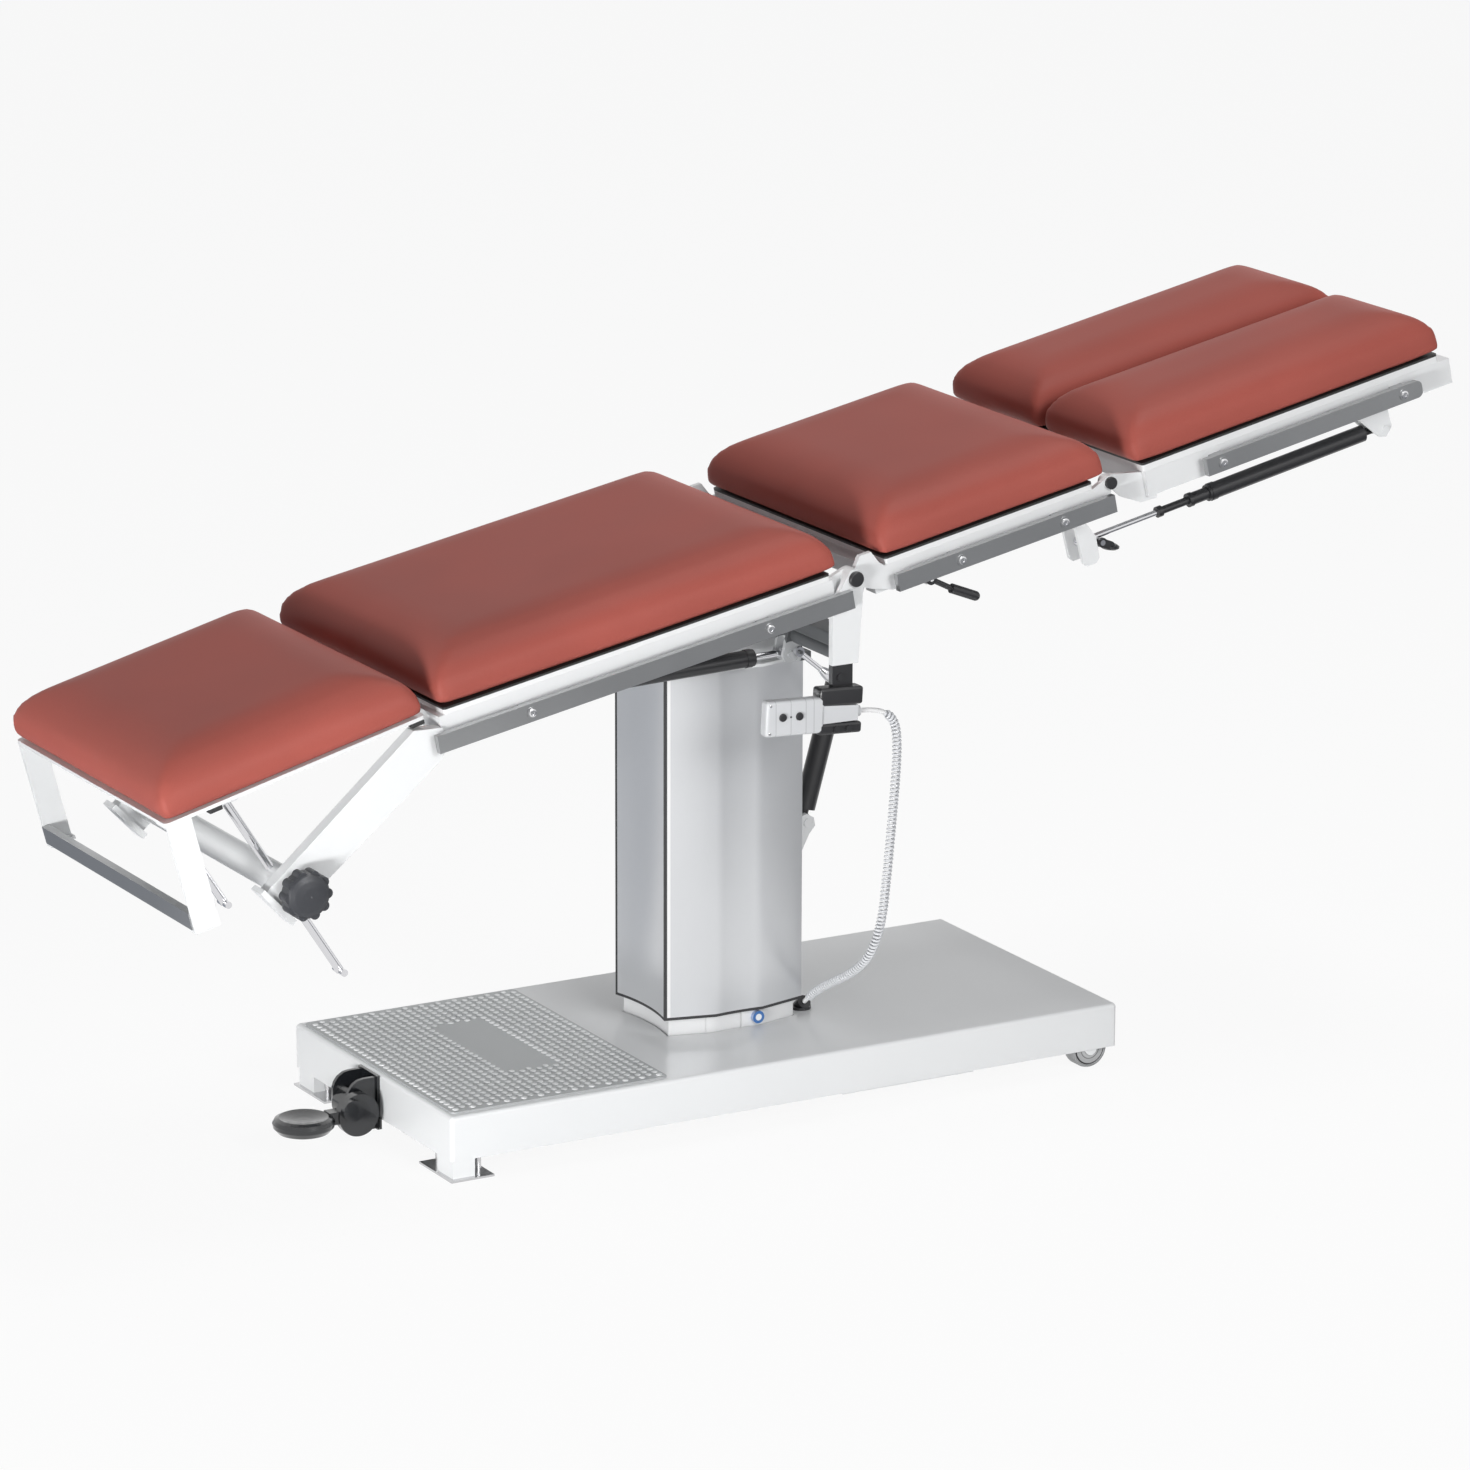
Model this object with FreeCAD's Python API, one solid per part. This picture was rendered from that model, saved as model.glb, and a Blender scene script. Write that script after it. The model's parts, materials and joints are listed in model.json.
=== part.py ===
"""Jointed operating table: base, lifting column, back, seat, head and two leg sections."""
import FreeCAD
import Part
import math
import os
from FreeCAD import Vector

# Sizes that set the whole table, millimetres and degrees

BASE_LENGTH = 1059.0
BASE_WIDTH = 480.0
BASE_HEIGHT = 63.0
GROUND_GAP = 29.0
COVER_SKIN = 3.0
EDGE_ROUND = 6.0
COLUMN_X = -64.0
COLUMN_LONG = 110.0
COLUMN_WIDE = 89.0
COLUMN_SIDE = 71.0
COLUMN_FLAT = 37.0
SIDE_HOLLOW = 9.0
FACE_HOLLOW = 2.0
COLUMN_TOP = 612.0
SLEEVE_GAP = 24.6
SLEEVE_WALL = 8.0
FIXED_GAP = 0.3
PIN_RADIUS = 6.0
PIN_PLAY = 0.05
PIVOT_X = 23.2
PIVOT_Z = 765.2
SECTION_LENGTH = 423.0
BACK_LENGTH = 640.0
HEAD_LENGTH = 391.0
LEG_LENGTH = 577.0
BACK_TILT = 10.9
SEAT_TILT = 11.7
LEG_TILT = 12.1
HEAD_TILT = 14.6
CONTROL_TILT = 3.0
HALF_WIDTH = 250.0
FRAME_INSET = 9.5
BOARD_INSET = 10.0
TUBE = 25.0
PLATE = 8.0
RAIL_HEIGHT = 25.0
RAIL_THICK = 10.0
RAIL_STANDOFF = 11.5
SCREW_RADIUS = 8.0
PAD_THICK = 74.0
PAD_EDGE = 19.0
PAD_SHOULDER = 90.0
CORD_RADIUS = 7.0
WHEEL_RADIUS = 28.5
WHEEL_WIDTH = 27.0
SPRING_Y = -105.0

# Places that follow from those sizes

HOLE_RADIUS = PIN_RADIUS + PIN_PLAY
BASE_TOP = GROUND_GAP + BASE_HEIGHT
BASE_LEFT = COLUMN_X - BASE_LENGTH / 2
BASE_RIGHT = COLUMN_X + BASE_LENGTH / 2
BASE_HALF = BASE_WIDTH / 2
SLEEVE_BOTTOM = BASE_TOP + SLEEVE_GAP
FRAME_TOP = BASE_TOP - COVER_SKIN
FRAME_FACE = HALF_WIDTH - FRAME_INSET
BOARD_HALF = HALF_WIDTH - BOARD_INSET
RAIL_FACE = FRAME_FACE + RAIL_STANDOFF + RAIL_THICK
EAR_OUT = FRAME_FACE - PLATE - 0.5
EAR_IN = EAR_OUT - PLATE
POST_IN = FRAME_FACE + 0.5
POST_OUT = POST_IN + 10
POST_LEFT = PIVOT_X - 35.5
POST_RIGHT = PIVOT_X + 5.5
POST_LOW = PIVOT_Z - 118
BEAM_LOW = COLUMN_TOP + 61
BEAM_HIGH = BEAM_LOW + 19
YOKE_TUBE = ((POST_LEFT + POST_RIGHT) / 2, BEAM_LOW - 14)
X_AXIS = Vector(1, 0, 0)
Y_AXIS = Vector(0, 1, 0)
Z_AXIS = Vector(0, 0, 1)
nodes = {}


# Small shape helpers

def block(x0, x1, y0, y1, z0, z1):
    return Part.makeBox(x1 - x0, y1 - y0, z1 - z0, Vector(x0, y0, z0))


def rod(start, direction, radius, length):
    return Part.makeCylinder(radius, length, Vector(*start), direction)


def along_y(x, z, radius, y0, y1):
    return rod((x, y0, z), Y_AXIS, radius, y1 - y0)


def fuse(shapes):
    whole = shapes[0]
    if len(shapes) > 1:
        whole = whole.fuse(shapes[1:])
    return whole.removeSplitter()


def profile_y(points, y0, y1):
    """Prism of a closed (x, z) outline between two y values."""
    wire = Part.makePolygon([Vector(x, y0, z) for x, z in points + points[:1]])
    return Part.Face(wire).extrude(Vector(0, y1 - y0, 0))


def turned(points, base, axis):
    """Solid of revolution of (radius, height) points about an axis from base."""
    wire = Part.makePolygon([Vector(r, 0, h) for r, h in points + points[:1]])
    solid = Part.Face(wire).revolve(Vector(0, 0, 0), Z_AXIS, 360)
    turn = FreeCAD.Rotation(Z_AXIS, axis)
    solid.Placement = FreeCAD.Placement(Vector(*base), turn)
    return solid


def slot_bar(p, q, r0, r1, y0, y1):
    """Flat link along Y with a round end at p (radius r0) and at q (radius r1)."""
    dx = q[0] - p[0]
    dz = q[1] - p[1]
    length = math.hypot(dx, dz)
    base = math.atan2(dz, dx)
    lean = math.acos((r0 - r1) / length)
    outline = []
    for end, radius, angle in ((p, r0, base + lean), (q, r1, base + lean),
                               (q, r1, base - lean), (p, r0, base - lean)):
        outline.append((end[0] + radius * math.cos(angle), end[1] + radius * math.sin(angle)))
    web = profile_y(outline, y0, y1)
    return fuse([web, along_y(p[0], p[1], r0, y0, y1), along_y(q[0], q[1], r1, y0, y1)])


def edges_along(shape, axis):
    """Straight edges of a shape that run along an axis."""
    found = []
    for edge in shape.Edges:
        run = edge.Vertexes[-1].Point - edge.Vertexes[0].Point
        if run.Length > 0.1 and abs(abs(run.normalize().dot(axis)) - 1) < 1e-6:
            found.append(edge)
    return found


def soft_block(x0, x1, y0, y1, z0, z1, radius):
    """Block with every edge rounded."""
    solid = block(x0, x1, y0, y1, z0, z1)
    return solid.makeFillet(radius, solid.Edges)


def span(sign, near, far):
    """The two y values of a span, in order, on the side that sign gives."""
    return sorted((sign * near, sign * far))


def mirror(shape):
    return shape.mirror(Vector(0, 0, 0), Y_AXIS)


def both_sides(shape):
    return [shape, mirror(shape)]


def place(shape, tilt, x, z):
    """Move a section built flat at its hinge into its tilted place."""
    moved = shape.copy()
    moved.rotate(Vector(0, 0, 0), Y_AXIS, -tilt)
    moved.translate(Vector(x, 0, z))
    return moved


def point(tilt, x, z, u, w):
    c = math.cos(math.radians(tilt))
    s = math.sin(math.radians(tilt))
    return (x + u * c - w * s, z + u * s + w * c)


LEG_PIVOT_X, LEG_PIVOT_Z = point(SEAT_TILT, PIVOT_X, PIVOT_Z, SECTION_LENGTH, 0)
BACK_END_X, BACK_END_Z = point(BACK_TILT, PIVOT_X, PIVOT_Z, -BACK_LENGTH, 0)
HEAD_X = BACK_END_X - 21.746
HEAD_Z = BACK_END_Z - 2.178
CLAMP_X = BACK_END_X - 211.546
CLAMP_Z = BACK_END_Z - 200.778


def on_back(shape):
    return place(shape, BACK_TILT, PIVOT_X, PIVOT_Z)


def on_seat(shape):
    return place(shape, SEAT_TILT, PIVOT_X, PIVOT_Z)


def on_leg(shape):
    return place(shape, LEG_TILT, LEG_PIVOT_X, LEG_PIVOT_Z)


def on_head(shape):
    return place(shape, HEAD_TILT, HEAD_X, HEAD_Z)


def save(name, solids):
    """Write one node; several solids stay separate in a group."""
    if not isinstance(solids, list):
        solids = [solids]
    parts = []
    for shape in solids:
        parts.extend(shape.Solids)
    for solid in parts:
        if not solid.isValid():
            raise ValueError(name + " has a faulty solid")
    whole = parts[0] if len(parts) == 1 else Part.makeCompound(parts)
    nodes[name] = whole
    whole.exportStep("parts/" + name + ".step")


# Base: cover, frame, tread plate, feet, wheels, pedal

def column_outline(inset, z):
    """Closed wire of the column's section, moved inward by inset."""
    corners = [(-COLUMN_LONG, COLUMN_SIDE), (-COLUMN_FLAT, COLUMN_WIDE), (COLUMN_FLAT, COLUMN_WIDE),
               (COLUMN_LONG, COLUMN_SIDE), (COLUMN_LONG, -COLUMN_SIDE), (COLUMN_FLAT, -COLUMN_WIDE),
               (-COLUMN_FLAT, -COLUMN_WIDE), (-COLUMN_LONG, -COLUMN_SIDE)]
    hollows = {1: Vector(0, -FACE_HOLLOW, 0), 3: Vector(-SIDE_HOLLOW, 0, 0),
               5: Vector(0, FACE_HOLLOW, 0), 7: Vector(SIDE_HOLLOW, 0, 0)}
    pts = [Vector(COLUMN_X + a, b, z) for a, b in corners]
    edges = []
    for i in range(8):
        p = pts[i]
        q = pts[(i + 1) % 8]
        if i in hollows:
            edges.append(Part.Arc(p, (p + q) / 2 + hollows[i], q).toShape())
        else:
            edges.append(Part.makeLine(p, q))
    wire = Part.Wire(edges)
    if inset:
        wire = wire.makeOffset2D(-inset, 2)
    return wire


def column_prism(inset, z0, z1):
    return Part.Face(column_outline(inset, z0)).extrude(Vector(0, 0, z1 - z0))


def base_cover():
    outer = block(BASE_LEFT, BASE_RIGHT, -BASE_HALF, BASE_HALF, GROUND_GAP, BASE_TOP)
    rounded = edges_along(outer, Z_AXIS)
    for edge in outer.Edges:
        if abs(edge.BoundBox.ZMin - BASE_TOP) < 0.01:
            rounded.append(edge)
    outer = outer.makeFillet(EDGE_ROUND, rounded)
    skin = COVER_SKIN
    inner = block(BASE_LEFT + skin, BASE_RIGHT - skin, -BASE_HALF + skin, BASE_HALF - skin,
                  GROUND_GAP - 1, BASE_TOP - skin)
    inner = inner.makeFillet(EDGE_ROUND - skin, edges_along(inner, Z_AXIS))
    opening = column_prism(SLEEVE_WALL - 2, GROUND_GAP, BASE_TOP + 1)
    return outer.cut([inner, opening])


FRAME_LOW = GROUND_GAP + 3
FRAME_BAR = 30.0
FRAME_RAIL_IN = BASE_HALF - 110
FRAME_RAIL_OUT = BASE_HALF - 70
FRAME_SIDE = BASE_HALF - COVER_SKIN - 1
AXLE_RADIUS = 6.0
WHEEL_X = BASE_RIGHT - 39.5
WHEEL_OUT = BASE_HALF - COVER_SKIN - 5
WHEEL_IN = WHEEL_OUT - WHEEL_WIDTH


def base_frame():
    """Welded frame under the cover: two rails, cross bars, foot blocks, wheel brackets and axles."""
    left = BASE_LEFT + COVER_SKIN
    right = BASE_RIGHT - COVER_SKIN
    pieces = []
    for sign in (-1, 1):
        a, b = span(sign, FRAME_RAIL_IN, FRAME_RAIL_OUT)
        pieces.append(block(left, right, a, b, FRAME_LOW, FRAME_TOP))
        a, b = span(sign, FRAME_SIDE - 46, FRAME_SIDE)
        pieces.append(block(left + 1, left + 34.5, a, b, 3, FRAME_LOW + 12))
        a, b = span(sign, FRAME_RAIL_OUT, FRAME_SIDE)
        pieces.append(block(left + 1, left + 40.5, a, b, FRAME_LOW, FRAME_TOP))
        a, b = span(sign, WHEEL_IN - 9, WHEEL_IN - 3)
        pieces.append(block(WHEEL_X - 20, WHEEL_X + 20, a, b, WHEEL_RADIUS - 10.5, FRAME_TOP))
        a, b = span(sign, FRAME_RAIL_OUT, WHEEL_IN - 3)
        pieces.append(block(WHEEL_X - 20, WHEEL_X + 20, a, b, 2 * WHEEL_RADIUS + 3, FRAME_TOP))
        a, b = span(sign, WHEEL_IN - 5, WHEEL_OUT + 2.5)
        pieces.append(along_y(WHEEL_X, WHEEL_RADIUS, AXLE_RADIUS, a, b))
        a, b = span(sign, WHEEL_OUT + 0.5, WHEEL_OUT + 3.5)
        pieces.append(along_y(WHEEL_X, WHEEL_RADIUS, AXLE_RADIUS + 3, a, b))
    before = COLUMN_X - COLUMN_LONG - FRAME_BAR - 46
    after = COLUMN_X + COLUMN_LONG + 14
    last = right - FRAME_BAR
    reach = FRAME_RAIL_IN + 2
    for x in (left, (left + before) / 2, before, after, (after + last) / 2, last):
        pieces.append(block(x, x + FRAME_BAR, -reach, reach, FRAME_LOW + 8, FRAME_TOP))
    around = COLUMN_LONG + 50
    pieces.append(block(COLUMN_X - around, COLUMN_X + around, -reach, reach, FRAME_TOP - 12, FRAME_TOP - 2))
    return fuse(pieces)


def bottom_plate():
    left = COLUMN_X + COLUMN_LONG - 28
    plate = block(left, left + 212, -FRAME_SIDE, -FRAME_RAIL_IN + 2, GROUND_GAP - 3, GROUND_GAP + 3)
    heads = []
    for x in (left + 22, left + 106, left + 190):
        heads.append(rod((x, -FRAME_SIDE + 12, GROUND_GAP - 6), Z_AXIS, 5, 3.5))
    return fuse([plate] + heads)


TREAD_MARGIN = 12.0


def tread_plate():
    plate = block(BASE_LEFT + 8.5, COLUMN_X - COLUMN_LONG - 80, -BASE_HALF + TREAD_MARGIN,
                  BASE_HALF - TREAD_MARGIN, BASE_TOP, BASE_TOP + 2)
    return plate.makeFillet(8, edges_along(plate, Z_AXIS))


def foot_plates():
    """Bright plate on the floor with its posts, at both corners of the pedal end."""
    left = BASE_LEFT - 1.5
    plate = block(left, left + 65, -BASE_HALF - 3, -BASE_HALF + 94, 0, 3)
    posts = []
    for x, y in ((left + 23, 80), (left + 23, 60), (left + 54, 26)):
        posts.append(rod((x, -BASE_HALF + y, 0), Z_AXIS, 5, GROUND_GAP + 3))
    return both_sides(fuse([plate] + posts))


def wheel(sign):
    """Tyre and disc in one, with a ring groove on both faces."""
    half = WHEEL_WIDTH / 2
    hub = AXLE_RADIUS + PIN_PLAY
    rim = WHEEL_RADIUS
    one_side = [(rim, half - 5), (rim - 1, half - 1.5), (rim - 4, half), (rim - 6, half - 2),
                (rim - 7, half), (hub, half)]
    other = [(radius, -height) for radius, height in reversed(one_side)]
    return turned(other + one_side, (WHEEL_X, sign * (WHEEL_IN + half), WHEEL_RADIUS), Y_AXIS)


PEDAL_AXLE = (BASE_LEFT - 28.5, GROUND_GAP + 16)
PEDAL_PIN = 7.0
PEDAL_BEARING = 13.0


def pedal_bracket():
    """Two arched ears on a back plate, with the pedal's axle between them."""
    x, z = PEDAL_AXLE
    plate = block(BASE_LEFT - 4, BASE_LEFT, -26, 32, z - 32, z + 45)
    ears = []
    for y0 in (-22, 22):
        outline = [(BASE_LEFT - 1, z - 31), (BASE_LEFT - 1, z + 43)]
        for i in range(9):
            angle = math.radians(90 + i * 20)
            outline.append((x + 6 + 26 * math.cos(angle), z + 15 + 28 * math.sin(angle)))
        outline.append((x + 8, z - 31))
        ears.append(profile_y(outline, y0, y0 + 6))
    axle = along_y(x, z, PEDAL_PIN, -22, 28)
    tab = block(BASE_LEFT - 3, BASE_LEFT, -31, -24, z - 30, z - 15)
    bearing = along_y(x, z, PEDAL_BEARING + PIN_PLAY, -23, -15.7)
    carrier = fuse([plate, tab] + ears).cut(bearing)
    return fuse([carrier, axle])


def foot_pedal():
    """Hub between the ears, arm, small knob and the dished round pad."""
    x, z = PEDAL_AXLE
    hub = along_y(x, z, 22, -15.5, 21.5)
    disc = along_y(x - 12, z, 30, -44, -30)
    neck = along_y(x, z, PEDAL_BEARING, -36, -15.5)
    arm = block(x - 56, x, -42, -24, z - 9, z + 9)
    knob = along_y(x - 24, z + 10, 15, -52, -40)
    profile = [(0, -14), (22, -14), (36, -9), (42, -2), (43, 4), (40, 9), (34, 11.5), (24, 9), (12, 7), (0, 6.5)]
    pad = turned(profile, (x - 92, -35, z - 3), Z_AXIS)
    body = fuse([hub, disc, neck, arm, knob, pad])
    return body.cut(along_y(x, z, PEDAL_PIN + PIN_PLAY, -23, 22))


GLAND = Vector(COLUMN_X + COLUMN_LONG + 16, -52, BASE_TOP + 12)
CORD_END = GLAND + Vector(1, -23, 20)


def cord_gland():
    run = GLAND - CORD_END
    run.normalize()
    boss = Part.makeCylinder(10, 30, GLAND, run)
    flange = rod((GLAND.x - 0.5, GLAND.y + 10, BASE_TOP), Z_AXIS, 15, 4)
    below = block(GLAND.x - 60, GLAND.x + 60, GLAND.y - 50, GLAND.y + 70, BASE_TOP - 40, BASE_TOP)
    return fuse([boss, flange]).cut(below)


def column_inner():
    outer = column_prism(SLEEVE_WALL + FIXED_GAP, FRAME_TOP - 2, COLUMN_TOP - 20)
    bore = column_prism(SLEEVE_WALL + 6, FRAME_TOP - 3, COLUMN_TOP)
    shell = outer.cut(bore)
    grooves = []
    face = COLUMN_WIDE - SLEEVE_WALL - FIXED_GAP
    for x in (-COLUMN_FLAT - 10, 8):
        for sign in (-1, 1):
            a, b = span(sign, face - 4, face + 2)
            grooves.append(block(COLUMN_X + x - 1.5, COLUMN_X + x + 1.5, a, b, BASE_TOP, COLUMN_TOP))
    return shell.cut(grooves)


LIFT_ROD_RADIUS = 18.0


def actuator_body():
    low = FRAME_TOP - 2
    foot = rod((COLUMN_X, 0, low), Z_AXIS, 45, 8)
    barrel = rod((COLUMN_X, 0, low + 8), Z_AXIS, 32, 390)
    motor = block(COLUMN_X - 70, COLUMN_X - 25, -28, 28, low, low + 152)
    solid = fuse([foot, barrel, motor])
    return solid.cut(rod((COLUMN_X, 0, low + 22), Z_AXIS, LIFT_ROD_RADIUS + PIN_PLAY, 500))


def actuator_rod():
    low = FRAME_TOP + 30
    return rod((COLUMN_X, 0, low), Z_AXIS, LIFT_ROD_RADIUS, COLUMN_TOP - low)


def ring_pin():
    """Round pin that shows on the near face of the fixed column."""
    x = COLUMN_X + COLUMN_FLAT - 4
    y = -(COLUMN_WIDE - SLEEVE_WALL - FIXED_GAP)
    pin = along_y(x, BASE_TOP + 12.5, 9, y - 5, y + 3)
    return pin.cut(column_prism(SLEEVE_WALL + FIXED_GAP, BASE_TOP, SLEEVE_BOTTOM))


# Lift: sleeve, cap, yoke, posts, springs, hand control

STRIP = 4.0


def strip_zone(z0, z1):
    x0 = COLUMN_X - COLUMN_LONG - 2
    zones = []
    for sign in (-1, 1):
        a, b = span(sign, COLUMN_SIDE - STRIP, COLUMN_SIDE + 9)
        zones.append(block(x0, COLUMN_X - COLUMN_LONG + STRIP, a, b, z0, z1))
    return zones


def column_sleeve():
    outer = column_prism(0, SLEEVE_BOTTOM + STRIP, COLUMN_TOP)
    shell = outer.cut(column_prism(SLEEVE_WALL, SLEEVE_BOTTOM, COLUMN_TOP + 1))
    skin = column_prism(0, SLEEVE_BOTTOM, COLUMN_TOP + 2).cut(column_prism(1.5, SLEEVE_BOTTOM - 1, COLUMN_TOP + 3))
    return shell.cut([skin.common(zone) for zone in strip_zone(SLEEVE_BOTTOM + STRIP, COLUMN_TOP + 1)])


def column_trim():
    """Black lower ring and the two edge strips let into the sleeve's left corners."""
    ring = column_prism(0, SLEEVE_BOTTOM, SLEEVE_BOTTOM + STRIP)
    ring = ring.cut(column_prism(SLEEVE_WALL, SLEEVE_BOTTOM - 1, SLEEVE_BOTTOM + STRIP + 1))
    skin = column_prism(0, SLEEVE_BOTTOM + STRIP, COLUMN_TOP)
    skin = skin.cut(column_prism(1.5, SLEEVE_BOTTOM, COLUMN_TOP + 1))
    strips = [skin.common(zone) for zone in strip_zone(SLEEVE_BOTTOM + STRIP, COLUMN_TOP)]
    return fuse([ring] + strips)


YOKE_TUBE_RADIUS = 11.0
HEAD_BLOCK_HALF = 60.0


def column_head():
    """Cap plate on the sleeve and the tapered head block under the yoke."""
    cap = column_prism(0, COLUMN_TOP, COLUMN_TOP + 4)
    low = COLUMN_TOP + 4
    waist = COLUMN_TOP + 28
    outline = [(COLUMN_X - 60, low), (COLUMN_X + 104, low), (COLUMN_X + 98, waist), (POST_RIGHT, BEAM_LOW),
               (POST_LEFT, BEAM_LOW), (POST_LEFT - 22, waist)]
    head = profile_y(outline, -HEAD_BLOCK_HALF, HEAD_BLOCK_HALF)
    bore = along_y(*YOKE_TUBE, YOKE_TUBE_RADIUS, -HEAD_BLOCK_HALF - 1, HEAD_BLOCK_HALF + 1)
    return fuse([cap, head]).cut(bore)


def yoke_beam():
    """Dark cross beam with the tube below it."""
    x, z = YOKE_TUBE
    beam = block(POST_LEFT, POST_RIGHT, -POST_IN, POST_IN, BEAM_LOW, BEAM_HIGH)
    beam = beam.makeFillet(3, edges_along(beam, Y_AXIS))
    tube = along_y(x, z, YOKE_TUBE_RADIUS, -POST_IN, POST_IN)
    webs = []
    for y in (41 - POST_IN, POST_IN - 49):
        webs.append(block(x - 6, x + 6, y, y + 8, z + 5, BEAM_LOW + 2))
    return fuse([beam, tube] + webs)


SPRING_A = (YOKE_TUBE[0] - 10.2, YOKE_TUBE[1] - 26)
SPRING_U = -440.0
SPRING_W = -62.0
SPRING_B = point(BACK_TILT, PIVOT_X, PIVOT_Z, SPRING_U, SPRING_W)
SPRING_PIN = 5.0
STRUT_L = (COLUMN_X + COLUMN_LONG + 40, COLUMN_TOP - 258)
STRUT_U_AT = 158.0
STRUT_W_AT = -70.0
STRUT_U = point(SEAT_TILT, PIVOT_X, PIVOT_Z, STRUT_U_AT, STRUT_W_AT)


def spring_bracket():
    """Fork for the rod end of the back spring, hung from the yoke tube."""
    x, z = YOKE_TUBE
    ears = []
    for y in (SPRING_Y - 15, SPRING_Y + 9):
        ears.append(slot_bar(SPRING_A, YOKE_TUBE, 12, 15, y, y + 6))
    foot = block(x, x + 22, SPRING_Y - 15, SPRING_Y + 15, z - 37, z - 25)
    pin = along_y(*SPRING_A, SPRING_PIN, SPRING_Y - 17, SPRING_Y + 17)
    whole = fuse(ears + [foot, pin])
    return whole.cut(along_y(x, z, YOKE_TUBE_RADIUS, SPRING_Y - 25, SPRING_Y + 25))


def yoke_post():
    outline = [(POST_LEFT, POST_LOW), (POST_RIGHT, POST_LOW), (POST_RIGHT + 4, PIVOT_Z - 60),
               (PIVOT_X + 13.4, PIVOT_Z - 2), (PIVOT_X - 11, PIVOT_Z + 8), (POST_LEFT, PIVOT_Z - 37)]
    web = profile_y(outline, -POST_OUT, -POST_IN)
    boss = along_y(PIVOT_X, PIVOT_Z, 13.5, -POST_OUT, -POST_IN)
    return fuse([web, boss]).cut(along_y(PIVOT_X, PIVOT_Z, PIN_RADIUS, -POST_OUT - 1, -POST_IN + 1))


CAP_RADIUS = 10.7
CAP_HEIGHT = 6.0


def pivot_cap():
    """Pin through post and ears with a rounded cap outside."""
    pin = along_y(PIVOT_X, PIVOT_Z, PIN_RADIUS, -POST_OUT, -EAR_IN)
    face = -POST_OUT - CAP_HEIGHT
    cap = along_y(PIVOT_X, PIVOT_Z, CAP_RADIUS, face, -POST_OUT)
    cap = cap.makeFillet(2, [e for e in cap.Edges if abs(e.BoundBox.YMax - face) < 0.01])
    return fuse([pin, cap])


GRIP_X = PIVOT_X - 27.2
HANDSET_X = GRIP_X - 71
HANDSET_Y = 1 - POST_OUT
HANDSET_Z = PIVOT_Z - 180.2
HANDSET_END = 34.5
BUTTON_X = (HANDSET_X - 21, HANDSET_X + 5)
BUTTON_Z = HANDSET_Z + 2
BUTTON_RADIUS = 5.5


def on_control(shape):
    """Turn a piece of the hand control into its slightly tilted place."""
    turned_piece = shape.copy()
    turned_piece.rotate(Vector(HANDSET_X, 0, HANDSET_Z), Y_AXIS, CONTROL_TILT)
    return turned_piece


def control_clamp():
    """Two jaws round the hand control's grip, hung from the near post."""
    x, y, z = GRIP_X, HANDSET_Y, HANDSET_Z
    upper = on_control(soft_block(x - 34, x + 34, y - 12, y + 12, z + 12, z + 37, 4))
    lower = on_control(soft_block(x - 34, x + 34, y - 12, y + 12, z - 28, z - 12.5, 4))
    back = on_control(block(x - 26, x + 26, y + 8, y + 14, z - 25, z + 35))
    hanger = block(x - 8, x + 24, y - 0.5, y + 9, z + 20, POST_LOW)
    screws = [along_y(x + 4, z + 45, 5, y - 3, y - 0.5)]
    for step in (-7, 12):
        screws.append(on_control(along_y(x + step, z - 20, 4.5, y - 15, y - 12)))
    return fuse([upper, lower, back, hanger]), screws


def hand_control():
    """Handset: keypad box at the left, a narrow grip and the cord's strain relief."""
    x, y, z = GRIP_X, HANDSET_Y, HANDSET_Z
    box = block(x - 117, x - 26, y - 12, y + 7, z - 25, z + 25)
    box = box.makeFillet(5, box.Edges)
    outline = [(x - 36, z - 13), (x + 28, z - 10.5), (x + 28, z + 10.5), (x - 36, z + 13)]
    grip = profile_y(outline, y - 10, y + 7)
    grip = grip.makeFillet(4, edges_along(grip, Y_AXIS)[:1] + edges_along(grip, Z_AXIS)[-1:])
    relief = rod((x + 28, y, z), X_AXIS, 7.5, HANDSET_END - 28)
    solid = fuse([box, grip, relief])
    for button_x in BUTTON_X:
        solid = solid.cut(along_y(button_x, BUTTON_Z, BUTTON_RADIUS + FIXED_GAP, y - 13, y - 8))
    return solid


def button(x):
    face = HANDSET_Y - 14.5
    cap = along_y(x, BUTTON_Z, BUTTON_RADIUS, face, face + 4)
    return cap.makeFillet(1.2, [e for e in cap.Edges if abs(e.BoundBox.YMax - face) < 0.01])


EYE_HALF = 6.6


def strut_vectors(start, end):
    run = Vector(end[0] - start[0], 0, end[1] - start[1])
    length = run.Length
    run.normalize()
    return run, length


def spring_parts(start, end, y, eye, rod_radius, body_radius, body_from, body_to, stroke):
    """Telescopic spring between two eyes: rod from start, body up to end, stroke left inside."""
    run, length = strut_vectors(start, end)
    origin = Vector(start[0], y, start[1])
    inner = Part.makeCylinder(rod_radius, body_to - 12 - stroke, origin, run)
    start_eye = along_y(start[0], start[1], eye, y - EYE_HALF, y + EYE_HALF)
    rod_solid = fuse([inner, start_eye])
    body = Part.makeCylinder(body_radius, body_to - body_from, origin + run * body_from, run)
    tail = Part.makeCylinder(body_radius * 0.45, length - body_to + 2, origin + run * (body_to - 2), run)
    end_eye = along_y(end[0], end[1], eye, y - EYE_HALF, y + EYE_HALF)
    gland = Part.makeCylinder(body_radius + 1, 9, origin + run * (body_from + 4), run)
    body_solid = fuse([body, gland, tail, end_eye])
    bore = Part.makeCylinder(rod_radius + PIN_PLAY, body_to - body_from - 8, origin + run * (body_from - 1), run)
    return rod_solid, body_solid.cut(bore)


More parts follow.
